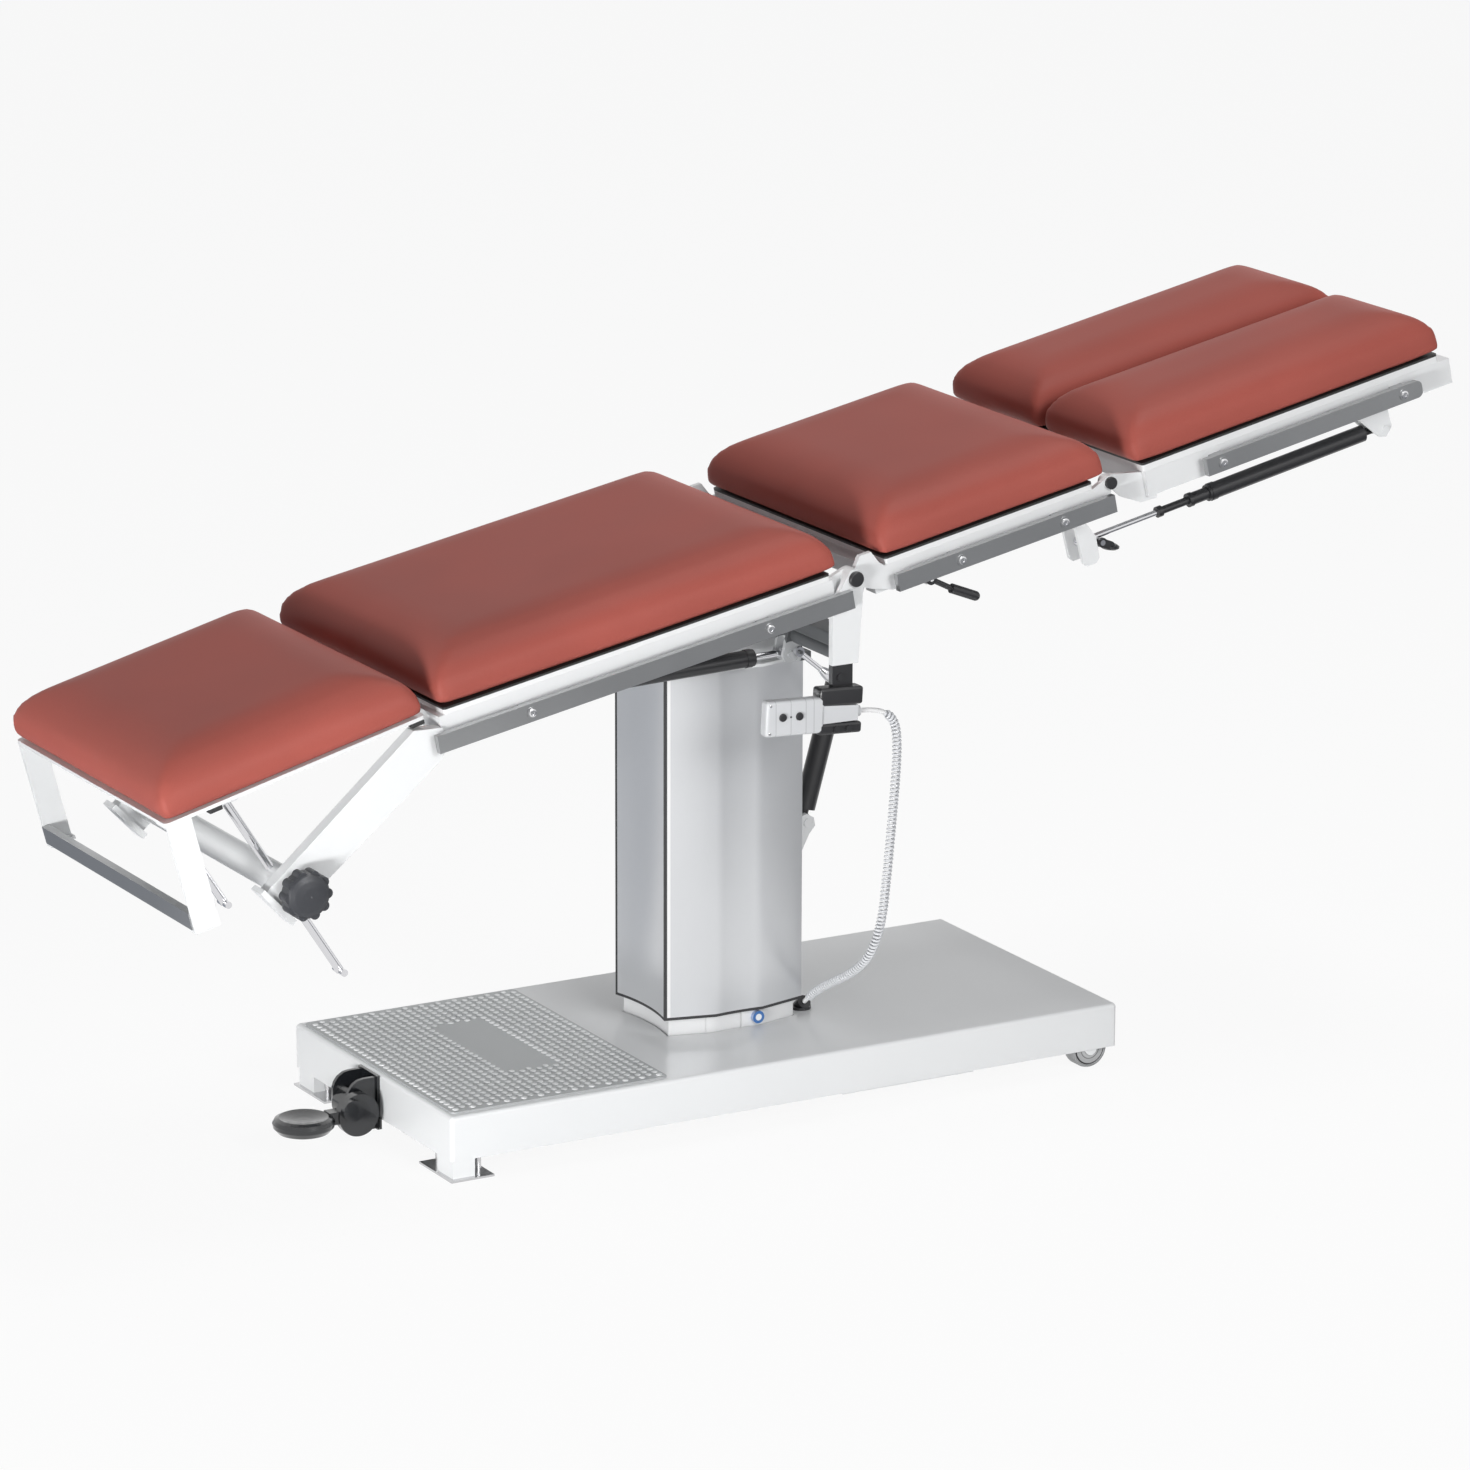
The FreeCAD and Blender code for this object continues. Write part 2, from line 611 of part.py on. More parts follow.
def back_spring():
    inner, outer = spring_parts(SPRING_A, SPRING_B, SPRING_Y, 9, 5, 12, 52, 365, 24)
    inner = inner.cut(along_y(*SPRING_A, SPRING_PIN + PIN_PLAY, SPRING_Y - 15, SPRING_Y + 15))
    return inner, outer.cut(along_y(*SPRING_B, SPRING_PIN + PIN_PLAY, SPRING_Y - 15, SPRING_Y + 15))


def seat_strut():
    run, length = strut_vectors(STRUT_L, STRUT_U)
    outer, inner = spring_parts(STRUT_U, STRUT_L, 0, 12, 6.5, 15, 125, length - 18, 84)
    outer = outer.cut(along_y(*STRUT_U, SPRING_PIN + PIN_PLAY, -12, 12))
    return inner.cut(along_y(*STRUT_L, PIN_RADIUS + PIN_PLAY, -12, 12)), outer


def strut_bracket():
    """Light bracket on the column's right face with the strut's lower pin."""
    face = COLUMN_X + COLUMN_LONG - SIDE_HOLLOW
    x, z = STRUT_L
    back = block(face - 0.5, face + 6, -30, 30, z - 113, z)
    ears = []
    for y in (-16, 8.5):
        outline = [(face + 5, z - 109), (face + 5, z - 4), (x - 16, z + 8), (x, z + 13), (x + 11, z + 6),
                   (x + 13, z - 6), (x + 4, z - 16)]
        ears.append(profile_y(outline, y, y + 7.5))
    pin = along_y(x, z, PIN_RADIUS, -18, 18)
    return fuse([back, pin] + ears).cut(column_prism(0, z - 154, z + 46))


LEVER_AT = (YOKE_TUBE[0] - 2.2, YOKE_TUBE[1] - 21)
LEVER_Y = SPRING_Y - 23
LEVER_PIN = 3.0


def back_lever():
    """Chrome rod with a black teardrop knob that frees the back spring."""
    x0, z0 = LEVER_AT
    x1, z1 = x0 + 38, z0 - 32
    run, length = strut_vectors((x0, z0), (x1, z1))
    stem = Part.makeCylinder(4, length, Vector(x0, LEVER_Y, z0), run)
    hub = along_y(x0, z0, 7, LEVER_Y - 4, LEVER_Y + 4)
    knob_points = [(0, 0), (4.5, 0), (7, 8), (8.5, 16), (7.5, 23), (4, 27), (0, 28)]
    knob = turned(knob_points, (x1 - run.x * 4, LEVER_Y, z1 - run.z * 4), run)
    return fuse([stem, hub, knob]).cut(along_y(x0, z0, LEVER_PIN + PIN_PLAY, LEVER_Y - 12, LEVER_Y + 18))


def lever_pin():
    return along_y(*LEVER_AT, LEVER_PIN, LEVER_Y - 7, LEVER_Y + 9)


# Sections built flat at their hinge: u along the table, w up

def ladder(u0, u1, y_out, y_in, low, top, cross_low, crosses):
    """Frame of two side tubes and cross tubes between them."""
    pieces = [block(u0, u1, *y_out, low, top), block(u0, u1, *y_in, low, top)]
    for u in crosses:
        pieces.append(block(u, u + TUBE, y_out[1] - 1, y_in[0] + 1, cross_low, top))
    return pieces


PAD_PROFILE = ((0, 0), (0.05, 0.3), (0.18, 0.58), (0.4, 0.8), (0.68, 0.94), (1, 1))


def pad_solid(u0, u1, y0, y1, low):
    """Upholstered pad: upright edge, then rounded shoulders up to the flat middle."""
    long = min(PAD_SHOULDER, 0.36 * (u1 - u0))
    wide = min(PAD_SHOULDER, 0.36 * (y1 - y0))

    def ring(share, z):
        u = long * share
        y = wide * share
        pts = [(u0 + u, y0 + y), (u1 - u, y0 + y), (u1 - u, y1 - y), (u0 + u, y1 - y)]
        return Part.makePolygon([Vector(a, b, z) for a, b in pts + pts[:1]])

    rise = PAD_THICK - PAD_EDGE
    rings = [ring(0, low)]
    for share, height in PAD_PROFILE:
        rings.append(ring(share, low + PAD_EDGE + rise * height))
    return fuse([Part.makeLoft(rings[i:i + 2], True, True) for i in range(len(rings) - 1)])


def board(u0, u1, y0, y1, low, top):
    solid = block(u0, u1, y0, y1, low, top)
    return solid.makeFillet(4, edges_along(solid, Z_AXIS))


def side_rail(u0, u1, low, screws, round_end):
    """Accessory rail with spacers and socket screws, near side."""
    bar = block(u0, u1, -RAIL_FACE, -RAIL_FACE + RAIL_THICK, low, low + RAIL_HEIGHT)
    if round_end:
        ends = [e for e in edges_along(bar, Y_AXIS) if abs(e.BoundBox.XMax - u1) < 0.01]
        bar = bar.makeFillet(9, ends)
    spacers = []
    heads = []
    middle = low + RAIL_HEIGHT / 2
    for u in screws:
        spacers.append(block(u - 10, u + 10, -RAIL_FACE + RAIL_THICK, -FRAME_FACE, middle - 10, middle + 10))
        head = along_y(u, middle, SCREW_RADIUS, -RAIL_FACE - 1.5, -RAIL_FACE)
        heads.append(head.cut(along_y(u, middle, SCREW_RADIUS * 0.4, -RAIL_FACE - 2, -RAIL_FACE - 0.5)))
    return [fuse([bar] + spacers)] + heads


BACK_LOW = -36.0
BACK_TOP = 6.0
BACK_BOARD = 9.5
BACK_PAD_LOW = BACK_TOP + BACK_BOARD
HINGE_BOSS = 13.0


def back_frame():
    """Ladder of square tube with hinge ears and the fork of the back spring."""
    inner = FRAME_FACE - TUBE
    middle = (SPRING_U - 84) / 2
    pieces = ladder(-BACK_LENGTH, -30, (-FRAME_FACE, -inner), (inner, FRAME_FACE), BACK_LOW, BACK_TOP, -19,
                    (-BACK_LENGTH, SPRING_U - 12, middle, -80))
    pieces.extend(both_sides(slot_bar((-45, -16), (0, 0), 18, HINGE_BOSS, -EAR_OUT, -EAR_IN)))
    for y in (SPRING_Y - 13, SPRING_Y + 7):
        pieces.append(slot_bar((SPRING_U, SPRING_W), (SPRING_U, -30), 11, 14, y, y + 6))
    pieces.append(block(SPRING_U - 12, SPRING_U + 13, SPRING_Y - 13, SPRING_Y + 13, -30, -18))
    frame = fuse(pieces)
    clear = along_y(0, 0, 30, -FRAME_FACE - 1, -EAR_OUT)
    bore = along_y(0, 0, HOLE_RADIUS, -FRAME_FACE, FRAME_FACE)
    pin = along_y(SPRING_U, SPRING_W, SPRING_PIN + 0.6, SPRING_Y - 25, SPRING_Y + 25)
    return on_back(frame.cut([bore, pin, clear, mirror(clear)]))


ARM_OUT = FRAME_FACE + 4.5
ARM_IN = FRAME_FACE - 15.5
JOURNAL = 10.0


def head_arm():
    """Flat arm welded to the end of the back frame, down to the head clamp, with a flared foot."""
    upper = []
    for u, w in ((0, -8), (-41.4, 0.7), (-12.9, -52.7), (0, -39.6)):
        upper.append(point(BACK_TILT, PIVOT_X, PIVOT_Z, u - BACK_LENGTH, w))
    outline = upper[:2] + [(CLAMP_X - 51.2, CLAMP_Z - 0.4), (CLAMP_X - 13.2, CLAMP_Z - 38.4)] + upper[2:]
    arm = profile_y(outline, -ARM_OUT, -ARM_IN)
    foot = [(CLAMP_X - 57.2, CLAMP_Z + 3.6), (CLAMP_X - 51.2, CLAMP_Z + 8.6), (CLAMP_X - 5.2, CLAMP_Z - 39.4),
            (CLAMP_X - 11.2, CLAMP_Z - 45.4)]
    flare = profile_y(foot, -ARM_OUT - 5, -ARM_IN + 5)
    bore = along_y(CLAMP_X, CLAMP_Z, JOURNAL + PIN_PLAY, -ARM_OUT - 6, -ARM_IN + 6)
    return fuse([arm, flare]).cut(bore)


ROD_RADIUS = 6.0
ROD_LENGTH = 327.7
ROD_Y = HALF_WIDTH - 70
ROD_TOP_X = BACK_END_X - 297.946
ROD_TOP_Z = BACK_END_Z - 65.778
ROD_RUN = Vector(CLAMP_X - ROD_TOP_X, 0, CLAMP_Z - ROD_TOP_Z)
ROD_TO_CLAMP = ROD_RUN.Length
ROD_RUN.normalize()


def head_rods():
    """Chrome rods with a short cross bar at the lower end of each."""
    rods = []
    for y in (-ROD_Y, ROD_Y):
        start = Vector(ROD_TOP_X, y, ROD_TOP_Z)
        stem = Part.makeCylinder(ROD_RADIUS, ROD_LENGTH, start, ROD_RUN)
        tee = start + ROD_RUN * ROD_LENGTH
        bar = rod((tee.x, y - 14, tee.z), Y_AXIS, 5, 28)
        rods.append(fuse([stem, bar]))
    return rods


KNOB_STUD = 5.0
KNOB_FACE = ARM_OUT + 6.5


def head_clamp():
    """Cross tube between the arms with journals in them, rod holes and the knob's stud."""
    tube = along_y(CLAMP_X, CLAMP_Z, 20, -ARM_IN + 0.5, ARM_IN - 0.5)
    journal = along_y(CLAMP_X, CLAMP_Z, JOURNAL, -ARM_OUT - 0.5, ARM_OUT + 0.5)
    far_cap = along_y(CLAMP_X, CLAMP_Z, 15, ARM_OUT + 5.5, ARM_OUT + 9)
    far_stud = along_y(CLAMP_X, CLAMP_Z, JOURNAL, ARM_OUT, ARM_OUT + 7)
    stud = along_y(CLAMP_X, CLAMP_Z, KNOB_STUD, -KNOB_FACE - 16, -ARM_OUT)
    holes = []
    for y in (-ROD_Y, ROD_Y):
        middle = Vector(ROD_TOP_X, y, ROD_TOP_Z) + ROD_RUN * ROD_TO_CLAMP
        holes.append(Part.makeCylinder(ROD_RADIUS + PIN_PLAY, 80, middle - ROD_RUN * 40, ROD_RUN))
    return fuse([tube, journal, far_cap, far_stud, stud]).cut(holes)


KNOB_LOBES = 10


def head_knob():
    """Star knob on the near side with a domed face and shallow lobes."""
    bore = KNOB_STUD + PIN_PLAY
    profile = [(bore, 0), (bore, -17), (0, -17), (0, -33), (12, -32.4), (22, -30.4), (28, -27.4), (31, -23),
               (31, -5), (24, 0)]
    core = turned(profile, (CLAMP_X, -KNOB_FACE, CLAMP_Z), Y_AXIS)
    lobes = []
    for i in range(KNOB_LOBES):
        angle = 2 * math.pi * i / KNOB_LOBES
        x = CLAMP_X + 27.5 * math.cos(angle)
        z = CLAMP_Z + 27.5 * math.sin(angle)
        lobe = along_y(x, z, 7, -KNOB_FACE - 25, -KNOB_FACE - 5)
        lobes.append(lobe)
    return fuse([core] + lobes)


HEAD_PLATE_LOW = 8.0
HEAD_PAD_LOW = 13.0
HEAD_LEG_LOW = -147.0


def head_plate():
    """Sheet under the head pad with ribs and the lugs that hold the rods' upper ends."""
    plate = block(-HEAD_LENGTH + 5, 4, -BOARD_HALF, BOARD_HALF, HEAD_PLATE_LOW, HEAD_PAD_LOW)
    plate = plate.makeFillet(6, edges_along(plate, Z_AXIS))
    ribs = []
    for y in (-ROD_Y - 2, ROD_Y - 2):
        ribs.append(block(-300, -20, y, y + 4, -4, HEAD_PLATE_LOW))
        ribs.append(soft_block(-300, -262, y - 12, y + 16, -14, 12, 3))
    return on_head(fuse([plate] + ribs)).cut(head_rods())


def head_leg():
    left = -HEAD_LENGTH + 6
    strap = block(left, left + 36, -BOARD_HALF, -BOARD_HALF + 5, HEAD_LEG_LOW, HEAD_PLATE_LOW)
    foot = block(left, left + 36, -BOARD_HALF, -BOARD_HALF + 18, HEAD_LEG_LOW, HEAD_LEG_LOW + 5)
    top = block(left, left + 36, -BOARD_HALF, -BOARD_HALF + 35, HEAD_PLATE_LOW - 4, HEAD_PLATE_LOW)
    return on_head(fuse([strap, foot, top]))


def head_rail():
    left = -HEAD_LENGTH + 4
    low = HEAD_LEG_LOW + 5.2
    reach = BOARD_HALF - 5
    return on_head(block(left, left + RAIL_THICK, -reach, reach, low, low + RAIL_HEIGHT))


def head_bumpers():
    solids = []
    for u in (-313, -9):
        for y in (-BOARD_HALF, BOARD_HALF - 12):
            solids.append(on_head(block(u - 9, u + 9, y, y + 12, HEAD_PLATE_LOW - 6, HEAD_PLATE_LOW)))
    return solids


SEAT_LOW = -38.0
SEAT_PAD_LOW = 10.5
SEAT_END = SECTION_LENGTH
LEG_BOSS = 10.0
GAS_Y = 85 - HALF_WIDTH
GAS_C = (-19.0, -98.0)
GAS_E = (495.0, -95.0)


def seat_side_plate():
    end = SEAT_END
    outline = [(0, 0), (18, 25), (36, 25), (44.5, 8), (52, 0), (end - 28, 0), (end, LEG_BOSS), (end, -13),
               (end - 25, SEAT_LOW), (60, SEAT_LOW), (30, -27), (0, -13)]
    web = profile_y(outline, -FRAME_FACE, -FRAME_FACE + PLATE)
    ends = [along_y(0, 0, HINGE_BOSS, -FRAME_FACE, -FRAME_FACE + PLATE),
            along_y(end, 0, LEG_BOSS, -FRAME_FACE, -FRAME_FACE + PLATE)]
    return fuse([web] + ends)


def gas_forks(frame):
    """Four bent plates, two for each gas spring, welded on below the seat frame's last cross tube."""
    outline = [(-57, -24), (-37, -24), (-21, -60), (-5, -90), (-5, -122), (-11, -128), (-27, -128), (-32, -122),
               (-35, -70), (-57, -36)]
    outline = [(SEAT_END + u, w) for u, w in outline]
    plates = []
    for y in (GAS_Y - 21, GAS_Y + 15, -GAS_Y - 21, -GAS_Y + 15):
        plates.append(on_seat(profile_y(outline, y, y + 6)).cut(frame))
    return plates


def seat_frame():
    """Ladder with side plates, the middle hinge and ears of the strut."""
    inner = FRAME_FACE - PLATE
    end = SEAT_END
    last = end - 37
    step = (last - TUBE - 36) / 3
    pieces = ladder(36, last, (-inner - 1, -inner + TUBE), (inner - TUBE, inner + 1), SEAT_LOW, 0, -25,
                    [36 + i * step for i in range(4)])
    pieces.extend(both_sides(seat_side_plate()))
    pieces.append(slot_bar((end - 43, -22), (end, 0), 12, LEG_BOSS, -12, 12))
    for y in (-14, 8):
        pieces.append(slot_bar((STRUT_U_AT, STRUT_W_AT), (STRUT_U_AT + 2, -28), 12, 14, y, y + 6))
    reach = FRAME_FACE + 1
    holes = [along_y(0, 0, HOLE_RADIUS, -reach, reach), along_y(end, 0, PIN_RADIUS, -reach, reach),
             along_y(STRUT_U_AT, STRUT_W_AT, SPRING_PIN + 0.6, -40, 40)]
    return on_seat(fuse(pieces).cut(holes))


def leg_pins():
    """Hinge pins of the leg sections: two outer ones with caps, one inner."""
    outer = fuse([along_y(SEAT_END, 0, PIN_RADIUS, -FRAME_FACE, -EAR_IN),
                  along_y(SEAT_END, 0, 8.5, -FRAME_FACE - 5.5, -FRAME_FACE)])
    inner = along_y(SEAT_END, 0, PIN_RADIUS, -24.5, 24.5)
    return [on_seat(outer), on_seat(mirror(outer)), on_seat(inner)]


SEAT_LEVER_U = 140.0
SEAT_LEVER_W = -58.0
SEAT_LEVER_Y = 50 - HALF_WIDTH


def seat_lever():
    """Bent rod with a black grip that frees the seat strut."""
    u, w, y = SEAT_LEVER_U, SEAT_LEVER_W, SEAT_LEVER_Y
    start = Vector(u, y, w)
    bend = Vector(u + 30, y, w - 24)
    end = Vector(u + 65, y, w - 47)
    first = bend - start
    second = end - bend
    stem = Part.makeCylinder(4, first.Length, start, first)
    ball = Part.makeSphere(4, bend)
    grip = Part.makeCylinder(7, second.Length, bend, second)
    tip = Part.makeSphere(7, end)
    hub = along_y(u, w, 8, y - 5, y + 5)
    solid = fuse([stem, ball, grip, tip, hub])
    return on_seat(solid.cut(along_y(u, w, LEVER_PIN + PIN_PLAY, y - 20, y + 20)))


def lever_lug():
    u, w, y = SEAT_LEVER_U, SEAT_LEVER_W, SEAT_LEVER_Y
    lug = slot_bar((u, w), (u + 10, w + 28), 9, 12, y + 5.5, y + 12)
    web = block(u, u + 22, y - 12, y + 12, -30, -24)
    pin = along_y(u, w, LEVER_PIN, y - 6, y + 12)
    return fuse([lug, web, pin])


LEG_LOW = -40.0
LEG_TOP = -3.0
LEG_PAD_LOW = 9.5
LEG_INNER = 12.0


def leg_frame():
    """One leg's ladder, its hinge plates, end plate and the fork of its gas spring."""
    last = LEG_LENGTH - TUBE
    step = (last - 58) / 3
    pieces = ladder(58, LEG_LENGTH, (-FRAME_FACE, -FRAME_FACE + TUBE), (-LEG_INNER - TUBE, -LEG_INNER),
                    LEG_LOW, LEG_TOP, -28, [58 + i * step for i in range(4)])
    pieces.append(block(LEG_LENGTH - 3, LEG_LENGTH + 3, -FRAME_FACE, -LEG_INNER, LEG_LOW, LEG_TOP))
    outline = [(0, LEG_BOSS), (62, -6), (75, -12), (75, -49), (48, -47), (20, -30), (4, -9)]
    for y in (-EAR_OUT, -LEG_INNER * 2):
        pieces.append(fuse([profile_y(outline, y, y + PLATE), along_y(0, 0, LEG_BOSS, y, y + PLATE)]))
    u, w = GAS_E
    ear = [(u - 27, -30), (u - 75, -30), (u - 11, w - 9), (u, w - 12), (u + 12, w), (u + 5, -30)]
    for y in (GAS_Y - 15, GAS_Y + 9):
        pieces.append(profile_y(ear, y, y + 6))
    pieces.append(block(u - 80, u + 10, GAS_Y - 15, GAS_Y + 15, -30, -26))
    pieces.append(block(58 + 2 * step, LEG_LENGTH - 1, GAS_Y - 4, GAS_Y + 4, -28, -20))
    pieces.append(along_y(u, w, SPRING_PIN, GAS_Y - 17, GAS_Y + 17))
    return on_leg(fuse(pieces).cut(along_y(0, 0, HOLE_RADIUS, -FRAME_FACE - 10, -1)))


GAS_GUARD_AT = 128.0
GAS_SLEEVE_AT = 181.0
GAS_BODY_AT = 214.0
PADDLE_U = 9.0
PADDLE_W = -107.0
PADDLE_PIN = 4.0


def leg_spring():
    """Gas spring of a leg: rod with the paddle's arm, and body with guard tube, collar and sleeve."""
    stroke = 96
    inner, outer = spring_parts(GAS_C, GAS_E, GAS_Y, 8.5, 4.2, 12, GAS_BODY_AT, 484, stroke)
    run, length = strut_vectors(GAS_C, GAS_E)
    origin = Vector(GAS_C[0], GAS_Y, GAS_C[1])
    guard = Part.makeCylinder(5.6, GAS_BODY_AT - GAS_GUARD_AT + 5, origin + run * GAS_GUARD_AT, run)
    collar = Part.makeCylinder(8, 8, origin + run * GAS_GUARD_AT, run)
    sleeve = Part.makeCylinder(9, GAS_BODY_AT - GAS_SLEEVE_AT + 2, origin + run * GAS_SLEEVE_AT, run)
    ring = Part.makeCylinder(10.2, 7, origin + run * GAS_SLEEVE_AT, run)
    bore = Part.makeCylinder(4.2 + PIN_PLAY, 110, origin + run * (GAS_GUARD_AT - 5), run)
    outer = fuse([outer, guard, collar, sleeve, ring]).cut(bore)
    fork = Part.makeCylinder(7, 12, origin + run * 4, run)
    arm = profile_y([(-17, -98), (6, -98), (PADDLE_U + 6, PADDLE_W - 4), (PADDLE_U - 4, PADDLE_W - 6)],
                    GAS_Y - 6.5, GAS_Y - 2)
    stud = along_y(PADDLE_U, PADDLE_W, PADDLE_PIN, GAS_Y - 12, GAS_Y - 6)
    inner = fuse([inner, fork, arm, stud]).cut(along_y(*GAS_C, 4.6, GAS_Y - 20, GAS_Y + 20))
    outer = outer.cut(along_y(*GAS_E, SPRING_PIN + PIN_PLAY, GAS_Y - 20, GAS_Y + 20))
    return on_leg(inner), on_leg(outer)


def leg_paddle():
    """Small oval release paddle on the stud of the rod's arm."""
    u, w = PADDLE_U, PADDLE_W
    hub = along_y(u, w, 7, GAS_Y - 12, GAS_Y - 7)
    stem = slot_bar((u, w), (u + 12, w - 8), 6, 6, GAS_Y - 12, GAS_Y - 7)
    profile = [(0, -4), (10, -4), (14, -1.5), (14, 1.5), (10, 4), (0, 4)]
    pad = turned(profile, (u + 16, GAS_Y, w - 13), Vector(0.35, 0, 1))
    solid = fuse([hub, stem, pad])
    return on_leg(solid.cut(along_y(u, w, PADDLE_PIN + PIN_PLAY, GAS_Y - 14, GAS_Y - 5)))


# Curly cord: one round tube of the coil's outer size

TILT_COS = math.cos(math.radians(CONTROL_TILT))
TILT_SIN = math.sin(math.radians(CONTROL_TILT))
CORD_OUT = GRIP_X + HANDSET_END - HANDSET_X


def cord_points():
    """Control points: out of the handset along its own axis, down, and along to the gland."""
    points = []
    for reach in (CORD_OUT, CORD_OUT + 26):
        points.append((HANDSET_X + reach * TILT_COS, HANDSET_Y, HANDSET_Z - reach * TILT_SIN))
    last_x, _, last_z = points[-1]
    points.append((last_x + 22.5, HANDSET_Y, last_z - 10))
    for x, share, z in ((29.5, 0.997, 444.1), (32.0, 0.985, 394.0), (27.0, 0.967, 311.0), (21.0, 0.955, 231.0),
                        (15.0, 0.939, 161.0), (9.5, 0.833, 109.0), (6.0, 0.606, 73.0), (3.0, 0.354, 47.0)):
        y = HANDSET_Y * share + GLAND.y * (1 - share)
        points.append((GLAND.x + x, y, GLAND.z + z))
    points.append(tuple(CORD_END))
    points.append(tuple(GLAND))
    return points


def curly_cord():
    """Pipe along the route: straight runs joined by arcs at the control points."""
    pts = [Vector(*p) for p in cord_points()]
    edges = []
    last = pts[0]
    radii = []
    for i in range(1, len(pts) - 1):
        back = pts[i - 1] - pts[i]
        ahead = pts[i + 1] - pts[i]
        run = min(back.Length, ahead.Length)
        back.normalize()
        ahead.normalize()
        turn = math.pi - math.acos(max(-1, min(1, back.dot(ahead))))
        trim = 0.45 * run
        radii.append(trim / math.tan(turn / 2))
        enter = pts[i] + back * trim
        leave = pts[i] + ahead * trim
        bisector = back + ahead
        bisector.normalize()
        centre_gap = radii[-1] / math.cos(turn / 2)
        middle = pts[i] + bisector * (centre_gap - radii[-1])
        edges.append(Part.LineSegment(last, enter).toShape())
        edges.append(Part.Arc(enter, middle, leave).toShape())
        last = leave
    edges.append(Part.LineSegment(last, pts[-1]).toShape())
    path = Part.Wire(edges)
    start = pts[1] - pts[0]
    circle = Part.Wire([Part.makeCircle(CORD_RADIUS, pts[0], start)])
    tube = path.makePipeShell([circle], True, True)
    section = math.pi * CORD_RADIUS ** 2
    print("cord points", [tuple(round(c, 2) for c in p) for p in pts])
    print("cord radii", [round(r, 1) for r in radii])
    print("cord length %.1f, volume %.0f, section times length %.0f"
          % (path.Length, tube.Volume, section * path.Length))
    return tube


# Build every node

def build_base():
    save("base_cover", base_cover())
    save("base_frame", [base_frame(), bottom_plate()])
    save("tread_plate", tread_plate())
    save("foot_plates", foot_plates())
    save("wheel_near", wheel(-1))
    save("wheel_far", wheel(1))
    save("pedal_bracket", pedal_bracket())
    save("foot_pedal", foot_pedal())
    save("column_inner", [column_inner(), ring_pin()])
    save("lift_actuator", actuator_body())
    save("lift_rod", actuator_rod())
    save("cord_gland", cord_gland())
    save("control_cord", curly_cord())


def build_lift():
    save("column_sleeve", column_sleeve())
    save("column_trim", column_trim())
    save("column_head", [column_head(), strut_bracket()])
    save("yoke_beam", fuse([yoke_beam(), spring_bracket(), lever_pin()]))
    save("yoke_posts", both_sides(yoke_post()))
    save("pivot_caps", both_sides(pivot_cap()))
    control = on_control(hand_control())
    clamp, screws = control_clamp()
    save("control_clamp", [clamp.cut(control)] + screws)
    save("hand_control", control)
    save("button_up", on_control(button(BUTTON_X[0])))
    save("button_down", on_control(button(BUTTON_X[1])))
    cylinder, piston = seat_strut()
    save("strut_cylinder", cylinder)
    save("strut_rod", piston)
    piston, cylinder = back_spring()
    save("back_spring_rod", piston)
    save("back_spring_cylinder", cylinder)
    save("back_release_lever", back_lever())


def build_back():
    end = -BACK_LENGTH
    save("back_frame", back_frame())
    save("head_arms", both_sides(head_arm()))
    save("back_board", on_back(board(end + 9, -32, -BOARD_HALF, BOARD_HALF, BACK_TOP, BACK_PAD_LOW)))
    save("back_pad", on_back(pad_solid(end - 1, -17, -HALF_WIDTH, HALF_WIDTH, BACK_PAD_LOW)))
    rail = [on_back(s) for s in side_rail(end - 17, -13, -36, (end + 124, -146), False)]
    save("back_rails", rail + [mirror(s) for s in rail])
    save("head_clamp", head_clamp())
    save("head_knob", head_knob())
    save("head_plate", [head_plate()] + head_bumpers())
    save("head_legs", both_sides(head_leg()))
    save("head_rail", head_rail())
    save("head_rods", head_rods())
    save("head_pad", on_head(pad_solid(-HEAD_LENGTH, 6, -HALF_WIDTH, HALF_WIDTH, HEAD_PAD_LOW)))


def build_seat():
    end = SEAT_END
    frame = fuse([seat_frame(), on_seat(lever_lug())])
    save("seat_frame", [frame] + gas_forks(frame))
    save("seat_board", on_seat(board(56, end - 28, -BOARD_HALF, BOARD_HALF, 0, SEAT_PAD_LOW)))
    save("seat_pad", on_seat(pad_solid(45.5, end - 1.3, -HALF_WIDTH, HALF_WIDTH, SEAT_PAD_LOW)))
    rail = [on_seat(s) for s in side_rail(58, end - 8, -36, (161, end - 93), False)]
    save("seat_rails", rail + [mirror(s) for s in rail])
    save("leg_pins", leg_pins())
    save("seat_lever", seat_lever())


def build_legs():
    frame = leg_frame()
    end = LEG_LENGTH
    cushion = on_leg(pad_solid(37, end - 5, -HALF_WIDTH, -3, LEG_PAD_LOW))
    plank = on_leg(board(56, end - 15, -BOARD_HALF, -LEG_INNER, LEG_TOP, LEG_PAD_LOW))
    rail = [on_leg(s) for s in side_rail(146, end - 62, -35, (172.5, end - 94), True)]
    piston, cylinder = leg_spring()
    paddle = leg_paddle()
    for side in ("near", "far"):
        def turn(shape):
            return mirror(shape) if side == "far" else shape
        save("leg_frame_" + side, turn(frame))
        save("leg_board_" + side, turn(plank))
        save("leg_pad_" + side, turn(cushion))
        save("leg_rail_" + side, [turn(s) for s in rail])
        save("leg_cylinder_" + side, turn(cylinder))
        save("leg_rod_" + side, turn(piston))
        save("leg_paddle_" + side, turn(paddle))


